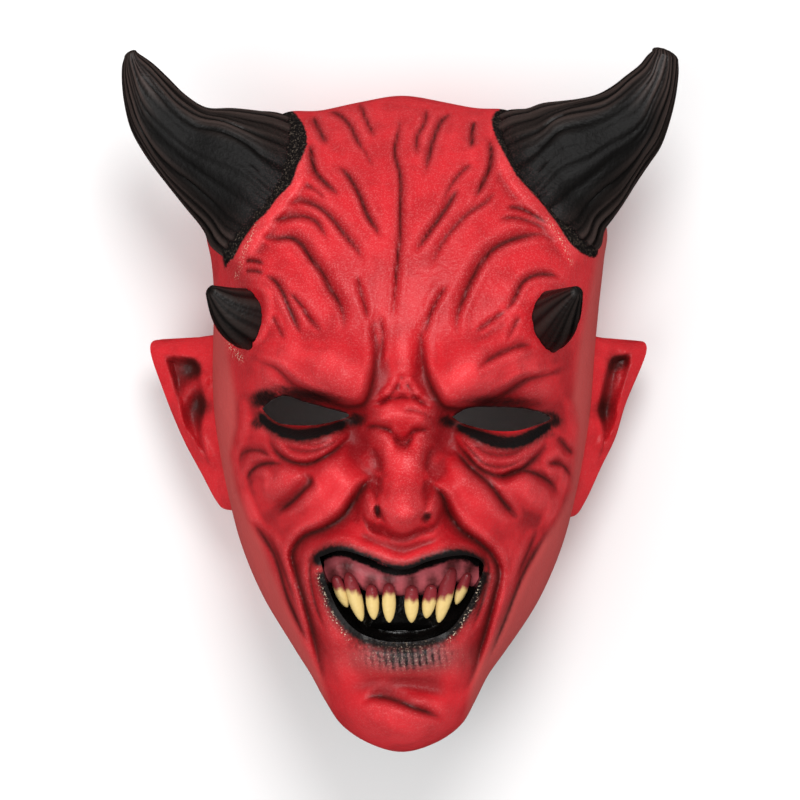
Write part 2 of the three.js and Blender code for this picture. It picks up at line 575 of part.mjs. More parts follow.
// One cross section of a horn, between its two edges in the front view
function hornSection([edgeA, edgeB], share, root, sides, shrink, flutes) {
  const nearRoot = Math.max(0, 1 - share / BIG_HORN.root_share) ** 2;
  const level = root.level + (BIG_HORN.tip_level - root.level) * share;
  const depth = BIG_HORN.root_depth + (BIG_HORN.tip_depth - BIG_HORN.root_depth) * share;
  const centre = [(edgeA[0] + edgeB[0]) / 2, (edgeA[1] + edgeB[1]) / 2];
  const half = [(edgeB[0] - edgeA[0]) / 2, (edgeB[1] - edgeA[1]) / 2];
  const reach = Math.hypot(...half);
  const ring = [];
  for (let i = 0; i < sides; i += 1) {
    const angle = (2 * Math.PI * i) / sides;
    const ripple = 1 - flutes * (0.5 + 0.5 * Math.cos(BIG_HORN.flutes * angle));
    const across = Math.cos(angle) * (1 - shrink / reach) * ripple;
    const up = Math.sin(angle) * (reach * depth - shrink) * ripple;
    const bow = (root.bow * nearRoot * Math.max(0, Math.sin(angle))) / reach;
    ring.push(new THREE.Vector3(
      centre[0] + half[0] * across + half[1] * bow,
      centre[1] + half[1] * across - half[0] * bow,
      level + up + root.tilt * nearRoot * across,
    ));
  }
  return ring;
}

// A horn from a plug under the skin to its tip, or the hollow in its lower part if it shrinks
function bigHorn({ edges, tip, root }, sides, shrink) {
  const used = shrink > 0 ? edges.slice(0, -5) : edges;
  const flutes = shrink > 0 ? 0 : BIG_HORN.flute_depth;
  const last = edges.length - 1;
  const rings = used.map((pair, i) => hornSection(pair, i / last, root, sides, shrink, flutes));
  const middle = centreOf(rings[0]);
  const plug = rings[0].map((p) => {
    return middle.clone().lerp(p, BIG_HORN.plug_size).setZ(p.z - BIG_HORN.plug_depth);
  });
  const point = new THREE.Vector3(...tip, BIG_HORN.tip_level);
  const end = shrink > 0 ? centreOf(rings[rings.length - 1]) : point;
  return solidFrom([plug, ...rings], centreOf(plug), end);
}

function smallHorn({ root, tip, radius, bow }, sides) {
  const from = new THREE.Vector3(...root);
  const to = new THREE.Vector3(...tip);
  const axis = to.clone().sub(from).normalize();
  const side = new THREE.Vector3(0, 1, 0).cross(axis).normalize();
  const top = axis.clone().cross(side);
  const rings = [];
  for (let i = 0; i < SMALL_HORN.steps; i += 1) {
    const share = i / SMALL_HORN.steps;
    const centre = from.clone().lerp(to, share).addScaledVector(top, -bow * Math.sin(share * Math.PI));
    const reach = radius * (1 - share ** SMALL_HORN.taper) + SMALL_HORN.tip_radius * share;
    const ring = [];
    for (let j = 0; j < sides; j += 1) {
      const angle = (2 * Math.PI * j) / sides;
      const rim = centre.clone().addScaledVector(side, reach * Math.cos(angle));
      ring.push(rim.addScaledVector(top, reach * Math.sin(angle)));
    }
    rings.push(ring);
  }
  return solidFrom(rings, from, to);
}

// Level of an ear's front above its plate
function earRelief(x, y, { hollow, ridge, deep, lobe }) {
  const { distance } = beside(x, y, ridge);
  const sunk = EAR.hollow_deep * smooth(depthInside(x, y, hollow) / EAR.hollow_edge);
  const raised = EAR.ridge_high * Math.exp(-ROLL.steep * (distance / EAR.ridge_width) ** ROLL.power);
  const deepest = deep.reduce((sum, [dx, dy]) => sum + bell(Math.hypot(x - dx, y - dy), EAR.deep_size), 0);
  const full = EAR.lobe_high * bell(Math.hypot(x - lobe[0], y - lobe[1]), EAR.lobe_size);
  return raised + full - sunk - EAR.deepest * deepest;
}

// An ear: a plate that leans and sweeps back, with a raised rim round a hollow, and a ridge in it
function ear({ edge, inner, top, foot, hollow, ridge, deep, lobe }) {
  const rows = curveThrough(edge, 14);
  const hollowLine = curveThrough([...hollow, hollow[0]], 40);
  const forms = { hollow: hollowLine, ridge: curveThrough(ridge, 10), deep, lobe };
  const columns = 8;
  const last = rows.length - 1;
  const place = (row, column, back) => {
    const down = row / last;
    const across = (column / columns) ** EAR.spread;
    const innerY = top + (foot - top) * down;
    const x = inner + (rows[row].x - inner) * across;
    const sag = EAR.top_sag * Math.sin(Math.PI * across) * (1 - down) ** EAR.end_steep;
    const y = innerY + (rows[row].y - innerY) * across - sag;
    const middle = EAR.level - EAR.lean * across ** EAR.lean_power - EAR.sweep * (1 - down) ** 2;
    const toEnd = EAR.end_thin + (1 - EAR.end_thin) * smooth(Math.min(down, 1 - down) * EAR.end_steep);
    const thick = (EAR.root_thick + (EAR.edge_thick - EAR.root_thick) * across) * toEnd;
    return new THREE.Vector3(x, y, back ? middle - thick : middle + earRelief(x, y, forms));
  };
  const rings = [];
  for (let row = 0; row <= last; row += 1) {
    const ring = [];
    for (let column = 0; column <= columns; column += 1) ring.push(place(row, column, false));
    for (let column = columns; column >= 0; column -= 1) ring.push(place(row, column, true));
    rings.push(ring);
  }
  return solidFrom(rings, centreOf(rings[0]), centreOf(rings[last]));
}

// The upper gum: a bent bar along the upper edge of the mouth
function gum() {
  const sides = 8;
  const line = curveThrough(GUM.way, 14);
  const levelAt = (x) => MOUTH.gum_front - GUM.radius - MOUTH.bend * (x / MOUTH.half_width) ** 2;
  const rings = line.map((p) => {
    const ring = [];
    for (let i = 0; i < sides; i += 1) {
      const angle = (2 * Math.PI * i) / sides;
      const level = levelAt(p.x) + GUM.radius * Math.cos(angle);
      ring.push(new THREE.Vector3(p.x, p.y + GUM.radius * Math.sin(angle), level));
    }
    return ring;
  });
  return solidFrom(rings, centreOf(rings[0]), centreOf(rings[rings.length - 1]));
}

// A pointed tooth
function tooth({ root, tip, wide }) {
  const sides = 7;
  const direction = new THREE.Vector2(tip[0] - root[0], tip[1] - root[1]);
  const across = new THREE.Vector2(direction.y, -direction.x).normalize();
  const level = MOUTH.teeth_front - MOUTH.tooth_depth - MOUTH.bend * (root[0] / MOUTH.half_width) ** 2;
  const rings = TOOTH_STEPS.map(([share, full]) => {
    const ring = [];
    for (let i = 0; i < sides; i += 1) {
      const angle = (2 * Math.PI * i) / sides;
      const aside = (wide / 2) * full * Math.cos(angle);
      ring.push(new THREE.Vector3(
        root[0] + direction.x * share + across.x * aside,
        root[1] + direction.y * share + across.y * aside,
        level + MOUTH.tooth_depth * full * Math.sin(angle),
      ));
    }
    return ring;
  });
  return solidFrom(rings, centreOf(rings[0]), new THREE.Vector3(...tip, level));
}

function ovalBlock({ at, size, from, to }) {
  const sides = 12;
  const points = [];
  for (let i = 0; i < sides; i += 1) {
    const angle = (2 * Math.PI * i) / sides;
    points.push([at[0] + size[0] * Math.cos(angle), at[1] + size[1] * Math.sin(angle)]);
  }
  return block(points, [[from[0], 1, from[1]], [to[0], 1, to[1]]]);
}

function neckNotch() {
  const cutter = new THREE.CylinderGeometry(1, 1, NECK.to - NECK.from, 28);
  cutter.scale(NECK.half_width, 1, NECK.height);
  cutter.translate(MIDDLE[0], (NECK.from + NECK.to) / 2, 0);
  return manifoldOf(cutter);
}

// The whole casting

function casting() {
  const smoothEdge = curveThrough([...MOUTH_EDGE, MOUTH_EDGE[0]], 32).slice(0, -1).map((p) => [p.x, p.y]);
  const pocket = block(smoothEdge, MOUTH_STEPS);
  let outside = dome(outerLevel, { around: 88, out: 22, down: 2, inset: 0, foot: 0 });
  let inside = dome(innerLevel, { around: 48, out: 11, down: 2, inset: WALL, foot: -10 });
  for (const side of ["left", "right"]) {
    outside = outside.add(bigHorn(BIG_HORNS[side], 26, 0)).add(smallHorn(SMALL_HORNS[side], 12));
    outside = outside.add(ear(EARS[side]));
    inside = inside.add(bigHorn(BIG_HORNS[side], 16, WALL));
  }
  outside = outside.subtract(pocket).add(gum());
  for (const shape of TEETH) outside = outside.add(tooth(shape));
  for (const side of ["left", "right"]) inside = inside.add(block(EYES[side], EYE_CUT));
  return outside.subtract(inside).subtract(ovalBlock(BREATHING_SLIT)).subtract(neckNotch());
}

// Opens the front view out to real sizes: what is nearer to the viewpoint looks larger in it
function toRealSize(geometry) {
  const place = geometry.attributes.position;
  for (let i = 0; i < place.count; i += 1) {
    const spread = (VIEW_HEIGHT - place.getZ(i)) / (VIEW_HEIGHT - FACE_LEVEL);
    place.setXY(i, place.getX(i) * spread, place.getY(i) * spread);
  }
  return geometry;
}

function geometryOf(solid) {
  const { vertProperties, triVerts } = solid.getMesh();
  const geometry = new THREE.BufferGeometry();
  geometry.setAttribute("position", new THREE.BufferAttribute(new Float32Array(vertProperties), 3));
  geometry.setIndex(new THREE.BufferAttribute(new Uint32Array(triVerts), 1));
  return geometry;
}

const geometry = toRealSize(geometryOf(casting()));
geometry.computeBoundingBox();
const box = geometry.boundingBox;
geometry.translate(-(box.min.x + box.max.x) / 2, -(box.min.y + box.max.y) / 2, -box.min.z);
geometry.computeVertexNormals();

const material = new THREE.MeshStandardMaterial({ color: SKIN_COLOUR, roughness: 0.5, metalness: 0 });
const mask = new THREE.Mesh(geometry, material);
mask.name = "devil_mask";

const part = new THREE.Group();
part.add(mask);

export default part;
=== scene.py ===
# A devil mask of cast latex rubber, lying face up on its back rim and seen from straight above.
import math

import bpy
import numpy as np
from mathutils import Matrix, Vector

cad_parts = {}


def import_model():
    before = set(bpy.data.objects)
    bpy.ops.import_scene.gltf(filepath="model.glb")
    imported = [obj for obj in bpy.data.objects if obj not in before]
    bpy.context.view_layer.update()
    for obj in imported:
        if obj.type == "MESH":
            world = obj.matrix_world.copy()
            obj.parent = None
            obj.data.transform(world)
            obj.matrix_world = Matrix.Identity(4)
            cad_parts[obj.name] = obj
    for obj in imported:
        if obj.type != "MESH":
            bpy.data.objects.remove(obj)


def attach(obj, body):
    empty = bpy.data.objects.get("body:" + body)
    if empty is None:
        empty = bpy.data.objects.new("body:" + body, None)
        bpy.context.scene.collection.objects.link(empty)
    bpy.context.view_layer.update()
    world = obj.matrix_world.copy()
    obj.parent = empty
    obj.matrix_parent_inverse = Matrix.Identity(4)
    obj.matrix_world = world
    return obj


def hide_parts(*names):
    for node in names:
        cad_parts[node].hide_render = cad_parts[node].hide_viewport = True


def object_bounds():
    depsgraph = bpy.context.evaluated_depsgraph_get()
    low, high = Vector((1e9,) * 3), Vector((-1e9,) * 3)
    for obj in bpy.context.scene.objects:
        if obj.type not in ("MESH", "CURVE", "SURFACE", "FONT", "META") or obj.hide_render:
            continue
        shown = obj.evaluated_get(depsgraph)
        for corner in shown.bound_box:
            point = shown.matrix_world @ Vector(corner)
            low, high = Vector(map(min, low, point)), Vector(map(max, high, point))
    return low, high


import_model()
cad_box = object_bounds()

MM = 0.001
NODE = "devil_mask"

# Sizes of the front view, in millimetres, as in the part
WALL = 3.2
VIEW_HEIGHT = 1400
FACE_LEVEL = 95
MM_PER_PIXEL = 0.355
PHOTO_WIDTH = 800
MIDDLE = (0.7, -5)
RIM_TUCK = 0.03
JAW_TUCK = 0.14
NECK = dict(half_width=40, height=60, start=-160, end=-55)
MOUTH = dict(floor=99, gum_front=111, teeth_front=112, tooth_depth=2.1, bend=7, half_width=28)
DOME = dict(edge=42, chin_rise=48, roundness=2.9, chin_roundness=3, fullness=0.55)
# Cross section of a furrow, in its half widths: the ditch, the wide dip round it and the bank beside it
DITCH = dict(deep=0.8, power=1.7, taper=0.7, fullness=0.6, reach=5)
DIP = dict(deep=0.25, width=2.6)
BANK = dict(high=0.38, at=2.3, width=1.2)
# The inside keeps a wall from the forms within this distance, and follows this share of the furrows
INSIDE_FIT = dict(near=3.8, furrow_share=0.6)
MOUTH_ROOM = dict(at=(0.5, -71), size=(36, 24), high=1.6, gap=0.5)
LOWER_LIP = dict(at=(2, -91.4), size=(18, 6.2), wrinkle=0.5, pitch=2.4, slant=0.4)
# How far the visible skin stays inside the part's box
FIT_INSET = 0.05
# Rings near the middle of the face have fewer points: within each share of the radius, one in so many
RING_STEPS = [(0.12, 8), (0.25, 4), (0.5, 2)]
# Faces that meet at more than this angle keep a crisp edge
SHARP_ANGLE = 50
# Keeps a division by a length of nothing from failing
TINY = 1e-12

# What a face of the mesh belongs to
SKIN, BIG, SMALL, EAR_KIND, GUM_KIND, TOOTH, POCKET, HOLE, INSIDE = range(1, 10)

# Silhouette of the head from crown to chin, as half width and height in the front view
OUTLINE = [
    (0, 108.5), (14, 106.4), (27.5, 103.2), (40, 98.8), (52, 92), (62, 82), (69, 70), (71.3, 60),
    (69.8, 50), (68.5, 36), (68, 23), (66.5, -7), (60.5, -39), (56, -54.5), (48.5, -71.5), (37.5, -89),
    (31.5, -98), (26.5, -107.5), (21.5, -115.5), (12.5, -122), (0, -125.5),
]
# The head is uneven: how far it stands to the right, around which height and over what span
LEANS = [(2, 47, 28), (-0.8, -100, 14)]
# Bulges of the silhouette at the horns' collars: direction in degrees, height, half width in degrees
COLLARS = [(70.5, 3.2, 4.5), (111.5, 4, 4.5)]

# Height of the bare face along its middle, from chin to crown
PROFILE = [
    (-128, 121), (-112, 116), (-98, 112), (-85, 112), (-65, 113), (-45, 113), (-12, 111), (0, 113),
    (25, 114), (55, 110), (85, 102), (112, 88),
]

# Broad forms: centre, half sizes, height and turn in degrees
SWELLINGS = [
    # eye sockets and their inner corners
    ((-33.5, -4.5), (18, 6), -12, -4),
    ((35.5, -5.5), (18, 6), -12, 4),
    ((-15, -11.5), (6, 8), -7, 0),
    ((16.5, -12), (5.5, 8), -7, 0),
    # the two bulges of the brow beside the frown
    ((-22, 11), (11, 9.5), 5.5, -20),
    ((24.5, 10), (11.5, 9.5), 5.5, 20),
    # nose: ball, wings and the knot of its root
    ((1.2, -39.8), (9, 8.8), 9.5, 0),
    ((-10.4, -38), (3.8, 6.6), 8, 10),
    ((12.8, -37.4), (3.8, 6.6), 8, -10),
    ((2.8, -7), (9, 4.2), 1.5, 0),
    # muzzle, chin and what lies between them
    ((1, -57), (30, 13.5), 7, 0),
    ((0.5, -114.5), (18, 10.5), 8, 0),
    ((1.5, -103), (16.5, 4.5), -3, 0),
    # temples, cheeks and jaw
    ((-57, -2), (7, 21.5), -4, 0),
    ((59.5, -2), (7, 21.5), -4, 0),
    ((-49, -57), (8, 18), -5, -15),
    ((51.5, -57), (8, 18), -5, 15),
    ((-42.5, -29), (10, 6), 3.5, -14),
    ((46, -33), (12, 8), 3.5, 14),
    # bumps round the small horns
    ((-50.5, 33), (14, 13), 3, 0),
    ((52.5, 31), (15, 13), 3, 0),
    ((-52, 31), (8, 8), -2.5, 0),
    ((54, 29), (8.5, 8), -2.5, 0),
]

# Rounded rolls of flesh along a line: half width, height at each end, share of the line that fades
ROLLS = [
    (8.2, (7, 8), (0.4, 0), [(-53, 15.5), (-39, 13.5), (-26.5, 9), (-17, 4.5)]),
    (8.2, (7, 8), (0.4, 0), [(55.5, 15.5), (41, 13.5), (29, 9), (20, 3.5)]),
    (8.5, (3, 3), (0, 0.7), [(-17, 5.5), (-18, 17), (-21.5, 32)]),
    (8.5, (3, 3), (0, 0.7), [(20, 5), (20, 17), (23.5, 32)]),
    (7.8, (5, 5), (0, 0), [(-5, -8.5), (2, -6.5), (8.5, -8.5)]),
    (7.2, (8, 15), (0.3, 0), [(2, -13.5), (2, -25), (1.5, -38.5)]),
    (8.9, (8, 8), (0.3, 0.5), [(-13, -22), (-21.5, -30), (-31, -38.5), (-39, -47)]),
    (8.9, (8, 8), (0.3, 0.5), [(14, -22), (22.5, -30), (32.5, -39), (40, -48.5)]),
    (7.8, (5, 5), (0.5, 0.5), [(-49, -25), (-42, -30.5), (-38.5, -35.5)]),
    (8.5, (5, 5), (0.5, 0.5), [(52, -27.5), (45.5, -33.5), (41, -37.5)]),
    (5, (3.5, 3.5), (0.3, 0.3), [(-49, -13), (-41, -18), (-30.5, -18.5), (-20.5, -13.5)]),
    (5, (3.5, 3.5), (0.3, 0.3), [(52.5, -14), (44, -19.5), (32.5, -20), (22, -14)]),
    (3.2, (3.5, 3.5), (0.15, 0.15), [
        (-31, -54), (-21.5, -52), (-10, -55), (0.5, -58.5), (12, -55.5), (24, -54), (32, -56.5)]),
    (4.6, (5, 5), (0.25, 0.25), [(-19.5, -86), (-10.5, -91.5), (1, -93), (13.5, -91), (22, -86)]),
    (3.9, (4, 4), (0.2, 0.4), [(-33.5, -57), (-33.5, -67.5), (-29.5, -79), (-22.5, -89)]),
    (3.9, (4, 4), (0.2, 0.4), [(34.5, -58.5), (33.5, -68), (29, -79), (23.5, -89)]),
    (3.2, (3, 3), (0.3, 0.4), [(-44, -57), (-39, -71), (-33.5, -87), (-27.5, -98)]),
    (3.2, (3, 3), (0.3, 0.4), [(44, -58.5), (38.5, -73), (33.5, -87), (28.5, -99.5)]),
    (2.6, (3.5, 3.5), (0.2, 0.25), [
        (-33.5, 93), (-36, 80.5), (-43, 69.5), (-50, 60.5), (-55.5, 51), (-58, 43)]),
    (2.6, (3.5, 3.5), (0.2, 0.25), [
        (33, 94), (39.5, 80.5), (47.5, 70), (55, 61.5), (60, 54.5), (64, 46)]),
    # the frown's column and its two slanting ridges
    (3.2, (1.5, 2.5), (0.6, 0.1), [(0.5, 30), (1, 18), (1.5, 8)]),
    (1.8, (1.6, 1.6), (0.3, 0.3), [(0.7, 9.4), (-3, 3.5), (-6.5, 0)]),
    (1.8, (1.6, 1.6), (0.3, 0.3), [(0.9, 9.4), (4.5, 3.5), (8.5, 1)]),
    # knots on the root of the nose
    (2.6, (2.2, 2.2), (0.2, 0.2), [(-10.5, -7), (-3.5, -5.4), (4, -5.8), (12, -8.5)]),
    (2.2, (1.6, 1.6), (0.3, 0.3), [(-9, -12.5), (-4.5, -14.5), (-2.5, -19)]),
    (2.2, (1.6, 1.6), (0.3, 0.3), [(12, -12.5), (7, -14.5), (4.5, -19)]),
    # crow's feet
    (2.0, (2.2, 2.2), (0.3, 0.3), [(-56.5, -21), (-53, -19.5), (-47, -20.5), (-42, -23)]),
    (2.0, (2.0, 2.0), (0.3, 0.3), [(-56, -27), (-52, -25.4), (-45, -25.5)]),
    (2.2, (2.2, 2.2), (0.3, 0.3), [(60, -21), (56, -19.5), (50, -23.5)]),
    (2.2, (2.0, 2.0), (0.3, 0.3), [(60.5, -27), (56.5, -25.5), (51, -27.5)]),
    # rough edge where the carved face meets the smooth sides
    (1.8, (1.8, 1.8), (0.1, 0.2), [
        (-55.5, 2), (-55, -8), (-57.5, -19), (-55.5, -32), (-51.5, -43), (-47, -51)]),
    (1.8, (1.8, 1.8), (0.1, 0.2), [(60, 2), (61.5, -10), (60.5, -20), (58, -30), (54, -40), (48.5, -50)]),
    # ring round the left small horn
    (1.5, (1.6, 1.6), (0.15, 0.15), [
        (-56.4, 41.6), (-52.2, 42.6), (-48, 39.8), (-46.8, 34), (-47.8, 27), (-52.2, 20.2),
        (-56.4, 18.4)]),
    # inner fold beside the mouth
    (1.9, (1.8, 1.8), (0.2, 0.3), [(-31.4, -51.5), (-34.5, -59.5), (-33.3, -69), (-30.5, -78)]),
    (1.9, (1.8, 1.8), (0.2, 0.3), [(31, -53), (33, -60), (31.8, -69), (29, -78)]),
]

